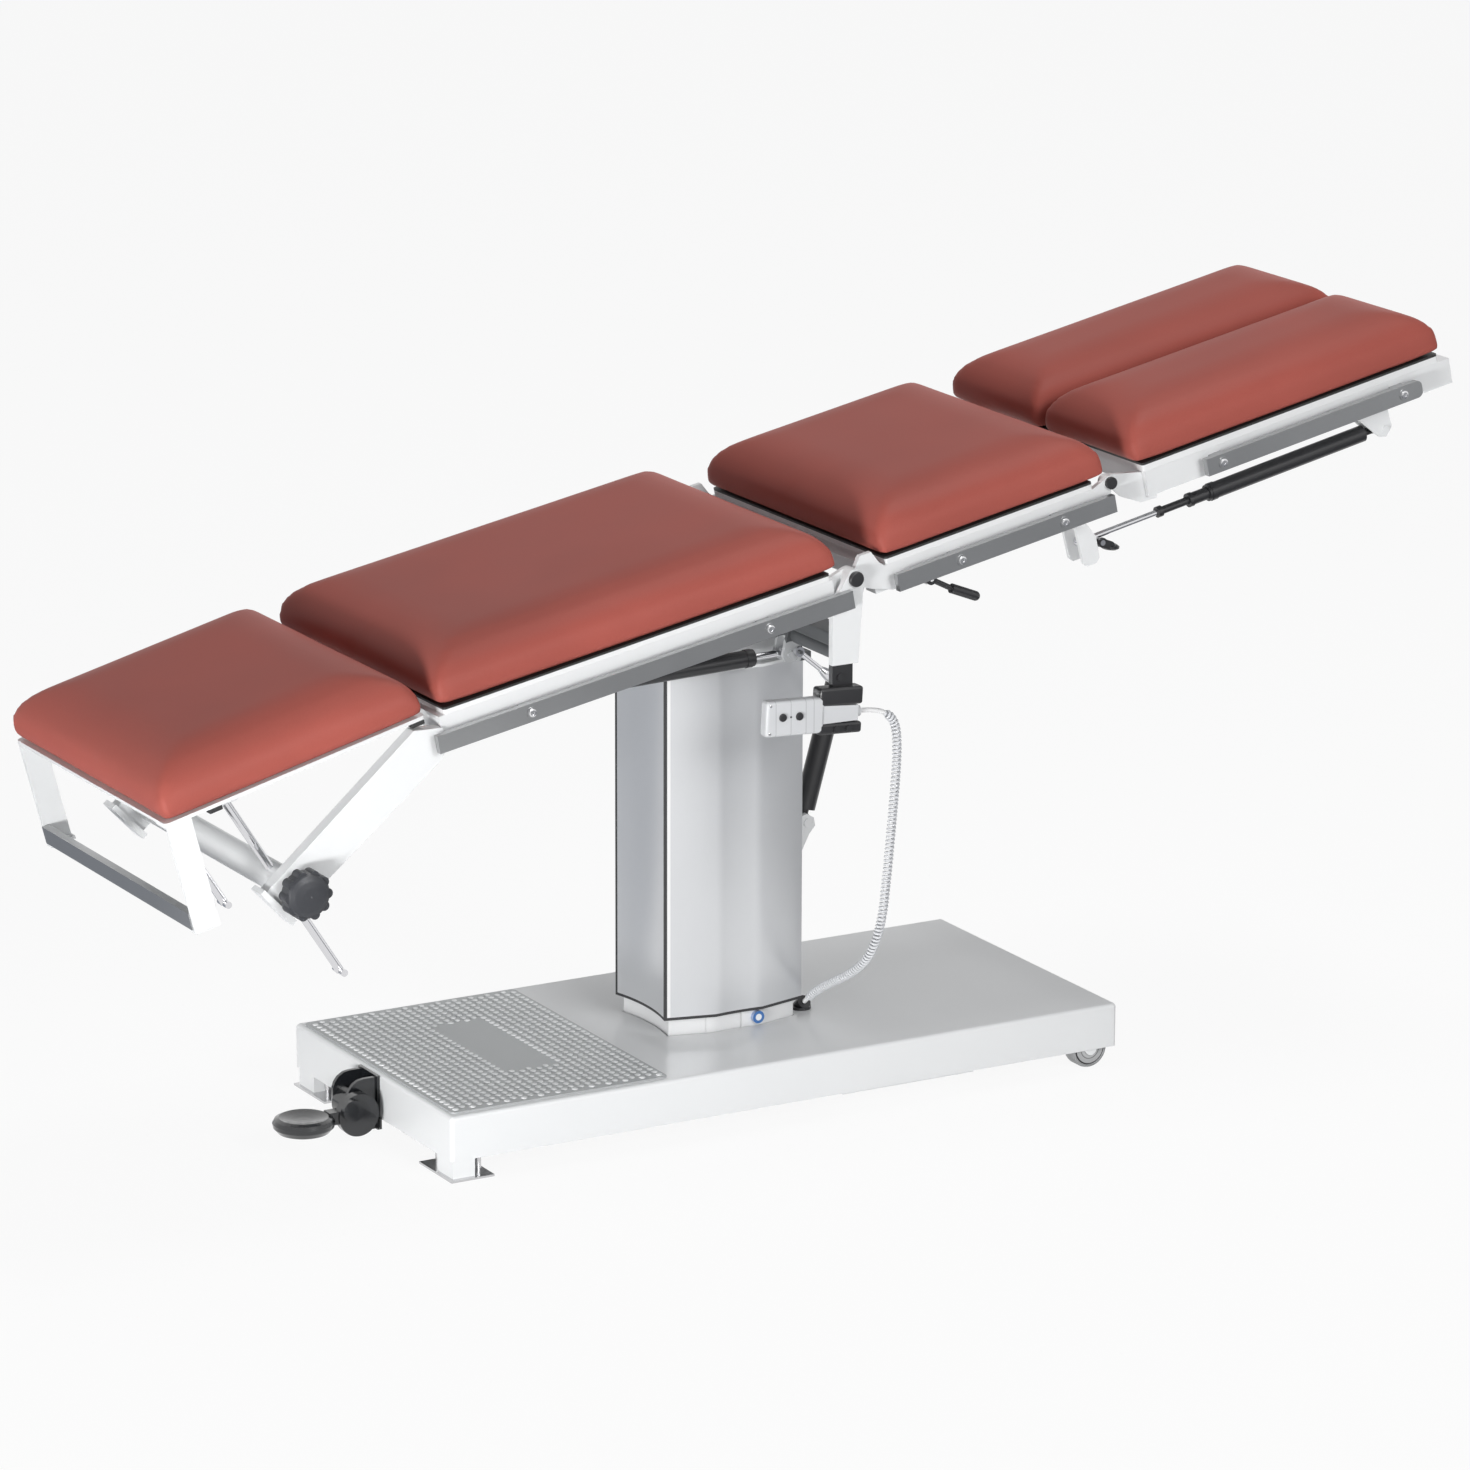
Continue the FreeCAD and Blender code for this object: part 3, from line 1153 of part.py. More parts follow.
os.makedirs("parts", exist_ok=True)
build_base()
build_lift()
build_back()
build_seat()
build_legs()
box = Part.makeCompound(list(nodes.values())).BoundBox
print(len(nodes), "nodes, overall box", [round(v, 1) for v in
      (box.XMin, box.XMax, box.YMin, box.YMax, box.ZMin, box.ZMax)])
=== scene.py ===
import bpy
import bmesh
import json
import math
from mathutils import Matrix, Vector

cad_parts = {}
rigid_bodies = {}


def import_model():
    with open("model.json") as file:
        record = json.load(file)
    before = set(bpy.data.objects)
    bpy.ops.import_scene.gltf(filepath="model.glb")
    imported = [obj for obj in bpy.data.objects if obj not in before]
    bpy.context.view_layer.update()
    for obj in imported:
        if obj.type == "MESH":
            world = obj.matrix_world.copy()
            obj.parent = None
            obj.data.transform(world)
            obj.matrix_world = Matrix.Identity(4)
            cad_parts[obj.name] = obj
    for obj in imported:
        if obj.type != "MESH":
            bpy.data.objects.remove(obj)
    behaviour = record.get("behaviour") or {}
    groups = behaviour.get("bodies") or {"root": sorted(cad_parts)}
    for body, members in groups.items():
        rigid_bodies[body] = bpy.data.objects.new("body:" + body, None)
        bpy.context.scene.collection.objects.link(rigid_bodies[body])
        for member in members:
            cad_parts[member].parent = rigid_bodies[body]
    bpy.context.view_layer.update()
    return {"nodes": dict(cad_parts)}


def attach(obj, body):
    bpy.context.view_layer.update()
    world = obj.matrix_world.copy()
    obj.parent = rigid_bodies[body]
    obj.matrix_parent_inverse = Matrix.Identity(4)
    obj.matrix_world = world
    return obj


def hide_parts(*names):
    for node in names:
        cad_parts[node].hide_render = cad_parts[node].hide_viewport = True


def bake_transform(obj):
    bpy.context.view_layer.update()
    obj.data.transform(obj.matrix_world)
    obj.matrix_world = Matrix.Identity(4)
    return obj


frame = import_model()
nodes = frame["nodes"]


# Studio: a pale floor and backdrop with soft light from the front left.
# The camera stands at the photograph's angle, far off with a long lens.
# The floor and the sky look white to the camera and in mirrors, and softly grey to all else.

AZIMUTH = math.radians(-29.511)
ELEVATION = math.radians(15.149)
ROLL = math.radians(0.164)
DISTANCE = 9.334
LENS = 162.25
SENSOR_WIDTH = 36
SHIFT_RIGHT = 0.03766
SHIFT_UP = 0.39157
AIM_OFFSET = Vector((-0.064, 0, 0.092))
FAR_CLIP = 60
FLOOR_SIZE = 60
FLOOR_TONE = (0.86, 0.86, 0.86, 1)
FLOOR_SEEN_WHITE = 0.92
SKY_STRENGTH = 0.40
HORIZON_TONE = (1.0, 1.0, 1.0, 1)
MIDWAY_TONE = (0.82, 0.83, 0.85, 1)
OVERHEAD_TONE = (0.16, 0.165, 0.18, 1)
MIDWAY = 0.3
OVERHEAD = 0.75
CARD_LEVEL = 0.004

back_way = Vector((math.sin(AZIMUTH) * math.cos(ELEVATION),
                   -math.cos(AZIMUTH) * math.cos(ELEVATION),
                   math.sin(ELEVATION)))
level_right = Vector((math.cos(AZIMUTH), math.sin(AZIMUTH), 0))
level_up = back_way.cross(level_right)
right_way = level_right * math.cos(ROLL) + level_up * math.sin(ROLL)
up_way = level_up * math.cos(ROLL) - level_right * math.sin(ROLL)
eye = back_way * DISTANCE + right_way * SHIFT_RIGHT + up_way * SHIFT_UP + AIM_OFFSET
camera_data = bpy.data.cameras.new("camera")
camera_data.lens = LENS
camera_data.sensor_width = SENSOR_WIDTH
camera_data.sensor_fit = "HORIZONTAL"
camera_data.clip_end = FAR_CLIP
camera = bpy.data.objects.new("camera", camera_data)
bpy.context.scene.collection.objects.link(camera)
camera_turn = Matrix((right_way, up_way, back_way)).transposed().to_4x4()
camera.matrix_world = Matrix.Translation(eye) @ camera_turn
bpy.context.scene.camera = camera
bpy.context.scene.view_settings.view_transform = "Standard"


def clear_selection():
    """Leaves edit mode and deselects everything."""
    if bpy.context.object and bpy.context.object.mode != "OBJECT":
        bpy.ops.object.mode_set(mode="OBJECT")
    bpy.ops.object.select_all(action="DESELECT")


def seen_white(tree):
    """1 for what the camera sees directly, in reflections or through glass."""
    path = tree.nodes.new("ShaderNodeLightPath")
    first = tree.nodes.new("ShaderNodeMath")
    first.operation = "MAXIMUM"
    second = tree.nodes.new("ShaderNodeMath")
    second.operation = "MAXIMUM"
    tree.links.new(path.outputs["Is Camera Ray"], first.inputs[0])
    tree.links.new(path.outputs["Is Glossy Ray"], first.inputs[1])
    tree.links.new(first.outputs[0], second.inputs[0])
    tree.links.new(path.outputs["Is Transmission Ray"], second.inputs[1])
    return second.outputs[0]


clear_selection()
bpy.ops.mesh.primitive_plane_add(size=FLOOR_SIZE, location=(0, 0, 0))
floor = bpy.context.object
floor.name = "floor"
floor_paint = bpy.data.materials.new("floor_paint")
floor_paint.use_nodes = True
tree = floor_paint.node_tree
shader = tree.nodes["Principled BSDF"]
shader.inputs["Base Color"].default_value = FLOOR_TONE
shader.inputs["Roughness"].default_value = 0.9
shader.inputs["Specular IOR Level"].default_value = 0.1
glow = tree.nodes.new("ShaderNodeEmission")
glow.inputs["Strength"].default_value = 1.0
blend_in = tree.nodes.new("ShaderNodeMixShader")
share = tree.nodes.new("ShaderNodeMath")
share.operation = "MULTIPLY"
share.inputs[1].default_value = FLOOR_SEEN_WHITE
tree.links.new(seen_white(tree), share.inputs[0])
tree.links.new(share.outputs[0], blend_in.inputs[0])
tree.links.new(shader.outputs[0], blend_in.inputs[1])
tree.links.new(glow.outputs[0], blend_in.inputs[2])
tree.links.new(blend_in.outputs[0], tree.nodes["Material Output"].inputs["Surface"])
floor.data.materials.append(floor_paint)

world = bpy.data.worlds.new("studio")
bpy.context.scene.world = world
world.use_nodes = True
tree = world.node_tree
sky = tree.nodes["Background"]
sky.inputs["Strength"].default_value = SKY_STRENGTH
direction = tree.nodes.new("ShaderNodeTexCoord")
height = tree.nodes.new("ShaderNodeSeparateXYZ")
tree.links.new(direction.outputs["Generated"], height.inputs[0])
ceiling = tree.nodes.new("ShaderNodeValToRGB")
ceiling.color_ramp.elements[0].position = 0.0
ceiling.color_ramp.elements[0].color = HORIZON_TONE
ceiling.color_ramp.elements[1].position = OVERHEAD
ceiling.color_ramp.elements[1].color = OVERHEAD_TONE
midway = ceiling.color_ramp.elements.new(MIDWAY)
midway.color = MIDWAY_TONE
tree.links.new(height.outputs["Z"], ceiling.inputs[0])
tree.links.new(ceiling.outputs[0], sky.inputs["Color"])
white = tree.nodes.new("ShaderNodeBackground")
white.inputs["Color"].default_value = (1, 1, 1, 1)
choice = tree.nodes.new("ShaderNodeMixShader")
tree.links.new(seen_white(tree), choice.inputs[0])
tree.links.new(sky.outputs[0], choice.inputs[1])
tree.links.new(white.outputs[0], choice.inputs[2])
tree.links.new(choice.outputs[0], tree.nodes["World Output"].inputs["Surface"])


def soft_light(name, place, aim, size, power):
    """White lamp panel at a place, turned to face its aim; its size in metres, its power in watts."""
    data = bpy.data.lights.new(name, "AREA")
    data.shape = "RECTANGLE"
    data.size = size[0]
    data.size_y = size[1]
    data.energy = power
    lamp = bpy.data.objects.new(name, data)
    bpy.context.scene.collection.objects.link(lamp)
    way = Vector(place) - Vector(aim)
    turn = way.to_track_quat("Z", "Y").to_matrix().to_4x4()
    lamp.matrix_world = Matrix.Translation(Vector(place)) @ turn


soft_light("key", (0.6, -6.2, 3.4), (0, 0, 0.6), (2.4, 2.0), 188)
soft_light("low_left", (-3.4, -1.9, 0.22), (-0.5, -0.1, 0.06), (1.2, 0.4), 100)
soft_light("top", (1.2, 0.2, 4.8), (0, 0, 0.7), (1.6, 1.2), 64)


def grey_card(name, corner_low, corner_high, tone):
    """Grey card on the floor that only mirrors see, so that bright metal shows a dark side."""
    clear_selection()
    middle = [(a + b) / 2 for a, b in zip(corner_low, corner_high)]
    bpy.ops.mesh.primitive_plane_add(size=1, location=(*middle, CARD_LEVEL))
    card = bpy.context.object
    card.name = name
    card.scale = (corner_high[0] - corner_low[0], corner_high[1] - corner_low[1], 1)
    bpy.ops.object.transform_apply(location=True, rotation=True, scale=True)
    paint = bpy.data.materials.new(name)
    paint.use_nodes = True
    tree = paint.node_tree
    light = tree.nodes.new("ShaderNodeEmission")
    light.inputs["Color"].default_value = (*tone, 1)
    tree.links.new(light.outputs[0], tree.nodes["Material Output"].inputs["Surface"])
    card.data.materials.append(paint)
    card.visible_camera = False
    card.visible_diffuse = False
    card.visible_shadow = False
    card.visible_transmission = False
    card.visible_volume_scatter = False


grey_card("card_right", (0.35, -5.2), (4.6, -1.15), (0.30, 0.31, 0.33))
grey_card("card_behind", (-3.4, 0.45), (-0.45, 3.6), (0.36, 0.38, 0.42))
grey_card("card_low", (0.62, -1.12), (2.4, -0.24), (0.15, 0.155, 0.165))


# Base cover: one folded sheet-steel hood, powder coated white with a faint orange peel.
# It sits over the welded frame, which is painted in the same white.

SLOW_SCALE = 7
GRAIN_SHARE = 0.6
COAT_ROUGHNESS = 0.12
JOIN_DISTANCE = 0.00001
CRISP_ANGLE = math.radians(28)


def fine_variation():
    """Shared shader group: slow tone drift, fine grain height and a roughness drift."""
    group = bpy.data.node_groups.new("fine_variation", "ShaderNodeTree")
    for name, kind, value in (("Colour", "NodeSocketColor", (0.8, 0.8, 0.8, 1)),
                              ("Drift", "NodeSocketFloat", 0.05),
                              ("Grain Scale", "NodeSocketFloat", 600.0),
                              ("Roughness", "NodeSocketFloat", 0.4),
                              ("Stretch", "NodeSocketVector", (1, 1, 1))):
        socket = group.interface.new_socket(name, in_out="INPUT", socket_type=kind)
        socket.default_value = value
    group.interface.new_socket("Colour", in_out="OUTPUT", socket_type="NodeSocketColor")
    group.interface.new_socket("Roughness", in_out="OUTPUT", socket_type="NodeSocketFloat")
    group.interface.new_socket("Height", in_out="OUTPUT", socket_type="NodeSocketFloat")
    enter = group.nodes.new("NodeGroupInput")
    leave = group.nodes.new("NodeGroupOutput")
    place = group.nodes.new("ShaderNodeTexCoord")
    stretch = group.nodes.new("ShaderNodeVectorMath")
    stretch.operation = "MULTIPLY"
    group.links.new(place.outputs["Object"], stretch.inputs[0])
    group.links.new(enter.outputs["Stretch"], stretch.inputs[1])
    slow = group.nodes.new("ShaderNodeTexNoise")
    slow.inputs["Scale"].default_value = SLOW_SCALE
    slow.inputs["Detail"].default_value = 4
    group.links.new(place.outputs["Object"], slow.inputs["Vector"])
    grain = group.nodes.new("ShaderNodeTexNoise")
    grain.inputs["Detail"].default_value = 3
    group.links.new(stretch.outputs[0], grain.inputs["Vector"])
    group.links.new(enter.outputs["Grain Scale"], grain.inputs["Scale"])
    centred = group.nodes.new("ShaderNodeMath")
    centred.operation = "SUBTRACT"
    centred.inputs[1].default_value = 0.5
    group.links.new(slow.outputs["Fac"], centred.inputs[0])
    grain_part = group.nodes.new("ShaderNodeMath")
    grain_part.operation = "MULTIPLY_ADD"
    grain_part.inputs[1].default_value = GRAIN_SHARE
    group.links.new(grain.outputs["Fac"], grain_part.inputs[0])
    group.links.new(centred.outputs[0], grain_part.inputs[2])
    shift = group.nodes.new("ShaderNodeMath")
    shift.operation = "SUBTRACT"
    shift.inputs[1].default_value = GRAIN_SHARE / 2
    group.links.new(grain_part.outputs[0], shift.inputs[0])
    amount = group.nodes.new("ShaderNodeMath")
    amount.operation = "MULTIPLY_ADD"
    amount.inputs[2].default_value = 1.0
    group.links.new(shift.outputs[0], amount.inputs[0])
    group.links.new(enter.outputs["Drift"], amount.inputs[1])
    tone = group.nodes.new("ShaderNodeVectorMath")
    tone.operation = "SCALE"
    group.links.new(enter.outputs["Colour"], tone.inputs[0])
    group.links.new(amount.outputs[0], tone.inputs["Scale"])
    group.links.new(tone.outputs[0], leave.inputs["Colour"])
    rough = group.nodes.new("ShaderNodeMath")
    rough.operation = "MULTIPLY"
    group.links.new(enter.outputs["Roughness"], rough.inputs[0])
    group.links.new(amount.outputs[0], rough.inputs[1])
    group.links.new(rough.outputs[0], leave.inputs["Roughness"])
    group.links.new(grain.outputs["Fac"], leave.inputs["Height"])
    return group


variation = fine_variation()


def finish(name, colour, roughness, metallic=0.0, drift=0.06, grain=700.0, relief=0.02,
           depth=0.0003, stretch=(1, 1, 1), coat=0.0, specular=0.5):
    """A material whose colour, roughness and bump come from the shared variation group."""
    made = bpy.data.materials.new(name)
    made.use_nodes = True
    tree = made.node_tree
    shader = tree.nodes["Principled BSDF"]
    shader.inputs["Metallic"].default_value = metallic
    shader.inputs["Coat Weight"].default_value = coat
    shader.inputs["Coat Roughness"].default_value = COAT_ROUGHNESS
    shader.inputs["Specular IOR Level"].default_value = specular
    vary = tree.nodes.new("ShaderNodeGroup")
    vary.node_tree = variation
    vary.inputs["Colour"].default_value = (*colour, 1)
    vary.inputs["Drift"].default_value = drift
    vary.inputs["Grain Scale"].default_value = grain
    vary.inputs["Roughness"].default_value = roughness
    vary.inputs["Stretch"].default_value = stretch
    bump = tree.nodes.new("ShaderNodeBump")
    bump.inputs["Strength"].default_value = relief
    bump.inputs["Distance"].default_value = depth
    tree.links.new(vary.outputs["Height"], bump.inputs["Height"])
    tree.links.new(bump.outputs["Normal"], shader.inputs["Normal"])
    tree.links.new(vary.outputs["Colour"], shader.inputs["Base Color"])
    tree.links.new(vary.outputs["Roughness"], shader.inputs["Roughness"])
    return made


def dress(names, material):
    """Gives solids their finish, joins their faces and shades them smooth up to the crisp angle."""
    for name in names:
        piece = nodes[name]
        if piece.material_slots:
            for held in piece.material_slots:
                held.material = material
        else:
            piece.data.materials.append(material)
        for face in piece.data.polygons:
            face.use_smooth = True
        weld = piece.modifiers.new("join", "WELD")
        weld.merge_threshold = JOIN_DISTANCE
        split = piece.modifiers.new("crisp", "EDGE_SPLIT")
        split.split_angle = CRISP_ANGLE


def near_line(tree, centre, axes, radius, edge=0.0006):
    """1 within a radius of a line through centre; axes holds 0 along the line and 1 across it."""
    place = tree.nodes.new("ShaderNodeTexCoord")
    offset = tree.nodes.new("ShaderNodeVectorMath")
    offset.operation = "SUBTRACT"
    offset.inputs[1].default_value = centre
    across = tree.nodes.new("ShaderNodeVectorMath")
    across.operation = "MULTIPLY"
    across.inputs[1].default_value = axes
    reach = tree.nodes.new("ShaderNodeVectorMath")
    reach.operation = "LENGTH"
    fade = tree.nodes.new("ShaderNodeMapRange")
    fade.inputs["From Min"].default_value = radius
    fade.inputs["From Max"].default_value = radius + edge
    fade.inputs["To Min"].default_value = 1.0
    fade.inputs["To Max"].default_value = 0.0
    tree.links.new(place.outputs["Object"], offset.inputs[0])
    tree.links.new(offset.outputs[0], across.inputs[0])
    tree.links.new(across.outputs[0], reach.inputs[0])
    tree.links.new(reach.outputs["Value"], fade.inputs["Value"])
    return fade.outputs["Result"]


def recolour(material, mask, colour):
    """Lays another colour over a material's own where the mask is 1."""
    tree = material.node_tree
    target = tree.nodes["Principled BSDF"].inputs["Base Color"]
    mix = tree.nodes.new("ShaderNodeMix")
    mix.data_type = "RGBA"
    tree.links.new(mask, mix.inputs[0])
    tree.links.new(target.links[0].from_socket, mix.inputs[6])
    mix.inputs[7].default_value = (*colour, 1)
    tree.links.new(mix.outputs[2], target)


white_paint = finish("white_paint", (0.77, 0.78, 0.785), 0.36, drift=0.03, grain=520, relief=0.05,
                     coat=0.15)
dress(["base_cover", "base_frame"], white_paint)


# Tread plate: pressed sheet with rows of small round domes, laid on the pedal end of the cover.
# The field in its middle is bare and flat. The domes get a lighter finish than the plate as painted
# highlight.

PLATE_LEFT = -0.585
PLATE_RIGHT = -0.254
PLATE_HALF = 0.228
PLATE_TOP = 0.094
DOME_PITCH = 0.013
DOME_RADIUS = 0.0046
DOME_WALL = 0.0008
DOME_STEP_IN = 0.0014
DOME_STEPS_UP = (0.0006, 0.0003)
DOME_SIDES = 8
FIRST_DOME = (PLATE_LEFT + 0.010, 0.011 - PLATE_HALF)
ROW_PAIRS = 13
DOMES_IN_ROW = 34
RIM_RIGHT = PLATE_RIGHT - 0.004
RIM_FAR = PLATE_HALF - 0.005
FIELD_LEFT = -0.436
FIELD_RIGHT = -0.362
FIELD_NEAR = -0.102
FIELD_FAR = 0.118
FACING = 0.9

plate_steel = finish("plate_steel", (0.44, 0.455, 0.46), 0.42, metallic=0.25, drift=0.08, grain=900,
                     relief=0.04)
dress(["tread_plate"], plate_steel)


def select_facing(piece, way):
    """In edit mode, selects only the faces that look along a direction."""
    bpy.ops.mesh.select_all(action="DESELECT")
    shape = bmesh.from_edit_mesh(piece.data)
    for face in shape.faces:
        face.select = face.normal.dot(Vector(way)) > FACING
    bmesh.update_edit_mesh(piece.data)


clear_selection()
bpy.ops.mesh.primitive_cylinder_add(vertices=DOME_SIDES, radius=DOME_RADIUS, depth=DOME_WALL,
                                    location=(*FIRST_DOME, PLATE_TOP + DOME_WALL / 2))
domes = bpy.context.object
domes.name = "tread_domes"
bpy.ops.object.transform_apply(location=True, rotation=True, scale=True)
bpy.ops.object.mode_set(mode="EDIT")
select_facing(domes, (0, 0, 1))
for step_up in DOME_STEPS_UP:
    bpy.ops.mesh.inset(thickness=DOME_STEP_IN, depth=0)
    bpy.ops.transform.translate(value=(0, 0, step_up))
bpy.ops.mesh.select_all(action="SELECT")
bpy.ops.mesh.duplicate()
bpy.ops.transform.translate(value=(DOME_PITCH, DOME_PITCH / 2, 0))
bpy.ops.object.mode_set(mode="OBJECT")
for count, step in ((ROW_PAIRS, (DOME_PITCH * 2, 0, 0)), (DOMES_IN_ROW, (0, DOME_PITCH, 0))):
    rows = domes.modifiers.new("rows", "ARRAY")
    rows.count = count
    rows.use_relative_offset = False
    rows.use_constant_offset = True
    rows.constant_offset_displace = step
    bpy.ops.object.modifier_apply(modifier="rows")
bpy.ops.object.mode_set(mode="EDIT")
bpy.ops.mesh.select_all(action="DESELECT")
shape = bmesh.from_edit_mesh(domes.data)
for face in shape.faces:
    middle = face.calc_center_median()
    in_field = FIELD_LEFT < middle.x < FIELD_RIGHT and FIELD_NEAR < middle.y < FIELD_FAR
    face.select = in_field or middle.x > RIM_RIGHT or middle.y > RIM_FAR
bmesh.update_edit_mesh(domes.data)
bpy.ops.mesh.select_linked()
bpy.ops.mesh.delete(type="FACE")
bpy.ops.object.mode_set(mode="OBJECT")
for face in domes.data.polygons:
    face.use_smooth = True
# Painted highlight: the domes are the same steel as the plate, made lighter for the light they catch.
dome_highlight_paint = finish("dome_highlight_paint", (0.80, 0.81, 0.815), 0.32, drift=0.06, grain=900, relief=0.03,
                    coat=0.2)
domes.data.materials.append(dome_highlight_paint)
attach(domes, "base")


# Feet and wheels: two bright foot plates with posts at the pedal end, two moulded rubber wheels.
# The wheels turn on pins of the base frame.

WHEEL_AXIS = (0.426, 0, 0.0285)
WHEEL_RINGS = ((0.0232, (0.05, 0.05, 0.052)), (0.0214, (0.40, 0.405, 0.41)),
               (0.0150, (0.16, 0.16, 0.165)), (0.0136, (0.46, 0.465, 0.47)),
               (0.0075, (0.10, 0.10, 0.105)))

bright_steel = finish("bright_steel", (0.60, 0.60, 0.61), 0.25, metallic=1.0, drift=0.08, grain=900,
                      relief=0.03)
dress(["foot_plates"], bright_steel)
wheel_tyre = finish("wheel_tyre", (0.30, 0.305, 0.31), 0.55, drift=0.15, grain=800, relief=0.12)
for radius, tone in WHEEL_RINGS:
    recolour(wheel_tyre, near_line(wheel_tyre.node_tree, WHEEL_AXIS, (1, 0, 1), radius), tone)
dress(["wheel_near", "wheel_far"], wheel_tyre)


# Foot pedal: a dished round pad on an arm, both in black gloss enamel.
# It swings in an arched bracket on the end of the base and is sprung back up.

black_gloss = finish("black_gloss", (0.012, 0.013, 0.015), 0.16, drift=0.2, grain=260, relief=0.05, coat=0.5)
dress(["pedal_bracket", "foot_pedal"], black_gloss)


# Lifting column: an anodised aluminium sleeve that slides over a fixed inner profile.
# Black strips line its corners and its lower edge, and a painted highlight runs down one corner.

DRAWN_GRAIN = (14, 14, 0.4)
EDGE_HIGHLIGHT_LINE = (-0.1678, -0.0737, 0)
EDGE_HIGHLIGHT_RADIUS = 0.0022
EDGE_HIGHLIGHT_TONE = (0.9, 0.9, 0.9)
RING_MIDDLE = (-0.031, 0, 0.1045)
RING_TONES = ((0.0088, (0.05, 0.16, 0.42)), (0.0045, (0.82, 0.83, 0.84)))

anodised = finish("anodised", (0.68, 0.69, 0.705), 0.34, metallic=0.72, drift=0.06, grain=150,
                  relief=0.05, stretch=DRAWN_GRAIN)
# Painted highlight: a near-white line down one corner of the sleeve stands in for the glint on that edge.
recolour(anodised, near_line(anodised.node_tree, EDGE_HIGHLIGHT_LINE, (1, 1, 0), EDGE_HIGHLIGHT_RADIUS),
         EDGE_HIGHLIGHT_TONE)
dress(["column_sleeve"], anodised)
inner_stage = finish("inner_stage", (0.74, 0.745, 0.75), 0.4, metallic=0.2, drift=0.05, grain=150,
                     relief=0.05, stretch=DRAWN_GRAIN)
for radius, tone in RING_TONES:
    recolour(inner_stage, near_line(inner_stage.node_tree, RING_MIDDLE, (1, 0, 1), radius), tone)
dress(["column_inner"], inner_stage)
black_strip = finish("black_strip", (0.03, 0.03, 0.032), 0.5, drift=0.2, grain=700, relief=0.1)
dress(["column_trim"], black_strip)
dress(["column_head"], white_paint)
dress(["lift_actuator", "lift_rod"], bright_steel)


# Yoke: a dark cast cross beam with a tube below it, seated on the column's head.
# Two white plate posts stand on it and carry the table on black capped pivots.

BRACKET_MIDDLE = (-0.002, -0.105, 0.633)
BRACKET_REACH = 0.0235
BRACKET_TONE = (0.50, 0.51, 0.52)

cast_grey = finish("cast_grey", (0.10, 0.105, 0.11), 0.5, metallic=0.2, drift=0.2, grain=500,
                   relief=0.2)
recolour(cast_grey, near_line(cast_grey.node_tree, BRACKET_MIDDLE, (1, 1, 1), BRACKET_REACH),
         BRACKET_TONE)
dress(["yoke_beam"], cast_grey)
dress(["yoke_posts"], white_paint)
satin_black = finish("satin_black", (0.018, 0.018, 0.02), 0.36, drift=0.2, grain=600, relief=0.05,
                     coat=0.1)
dress(["pivot_caps"], satin_black)


# Springs and strut: black enamelled steel cylinders with chromed rods that slide in them.
# An eye at each end turns on a pin. The back's release lever is chromed too.

chrome = finish("chrome", (0.72, 0.72, 0.74), 0.10, metallic=1.0, drift=0.04, grain=500, relief=0.0)
dress(["strut_cylinder", "back_spring_cylinder"], satin_black)
dress(["strut_rod", "back_spring_rod", "back_release_lever"], chrome)


# Hand control: a light grey moulded handset with two push buttons, held in a black screw clamp.
# Fine grooves cross its face, drawn only as lines of painted shade; the face also has two small screws and a
# black dot.

GROOVES = (-0.1065, -0.083, -0.0595, -0.047)
GROOVE_HALF = 0.0004
GROOVE_EDGE = 0.0003
GROOVE_SHADE_TONE = (0.42, 0.43, 0.44)
HANDSET_FACE = -0.2618
HANDSET_SCREWS = ((-0.1150, 0.6060), (-0.1165, 0.5670))
HANDSET_DOT = (-0.0832, HANDSET_FACE, 0.5873)
SCREW_SIDES = 20
SCREW_RIM = 0.14
SCREW_RIM_RISE = 0.25
SOCKET_DEPTH = 0.7
ROUNDED_ANGLE = math.radians(35)

grey_mould = finish("grey_mould", (0.60, 0.61, 0.625), 0.42, drift=0.05, grain=1600, relief=0.15)
# Painted shade: each groove is a darker grey line laid on the flat face.
for x in GROOVES:
    groove_shade = near_line(grey_mould.node_tree, (x, 0, 0), (1, 0, 0), GROOVE_HALF, GROOVE_EDGE)
    recolour(grey_mould, groove_shade, GROOVE_SHADE_TONE)
dress(["hand_control"], grey_mould)
dress(["control_clamp", "button_up", "button_down", "cord_gland"], satin_black)


def small_screw(name, place, radius, height, socket):
    """Round screw head that looks towards the near side, with a raised rim and a sunk socket."""
    clear_selection()
    bpy.ops.mesh.primitive_cylinder_add(vertices=SCREW_SIDES, radius=radius, depth=height,
                                        location=(place[0], place[1] - height / 2, place[2]),
                                        rotation=(math.radians(90), 0, 0))
    head = bpy.context.object
    head.name = name
    bpy.ops.object.transform_apply(location=True, rotation=True, scale=True)
    bpy.ops.object.mode_set(mode="EDIT")
    select_facing(head, (0, -1, 0))
    bpy.ops.mesh.inset(thickness=radius * SCREW_RIM, depth=0)
    bpy.ops.transform.translate(value=(0, -height * SCREW_RIM_RISE, 0))
    bpy.ops.mesh.inset(thickness=radius * (1 - SCREW_RIM - socket), depth=0)
    bpy.ops.mesh.extrude_region_move(TRANSFORM_OT_translate={"value": (0, height * SOCKET_DEPTH, 0)})
    bpy.ops.object.mode_set(mode="OBJECT")
    clear_selection()
    head.select_set(True)
    bpy.context.view_layer.objects.active = head
    bpy.ops.object.shade_smooth_by_angle(angle=ROUNDED_ANGLE)
    return head


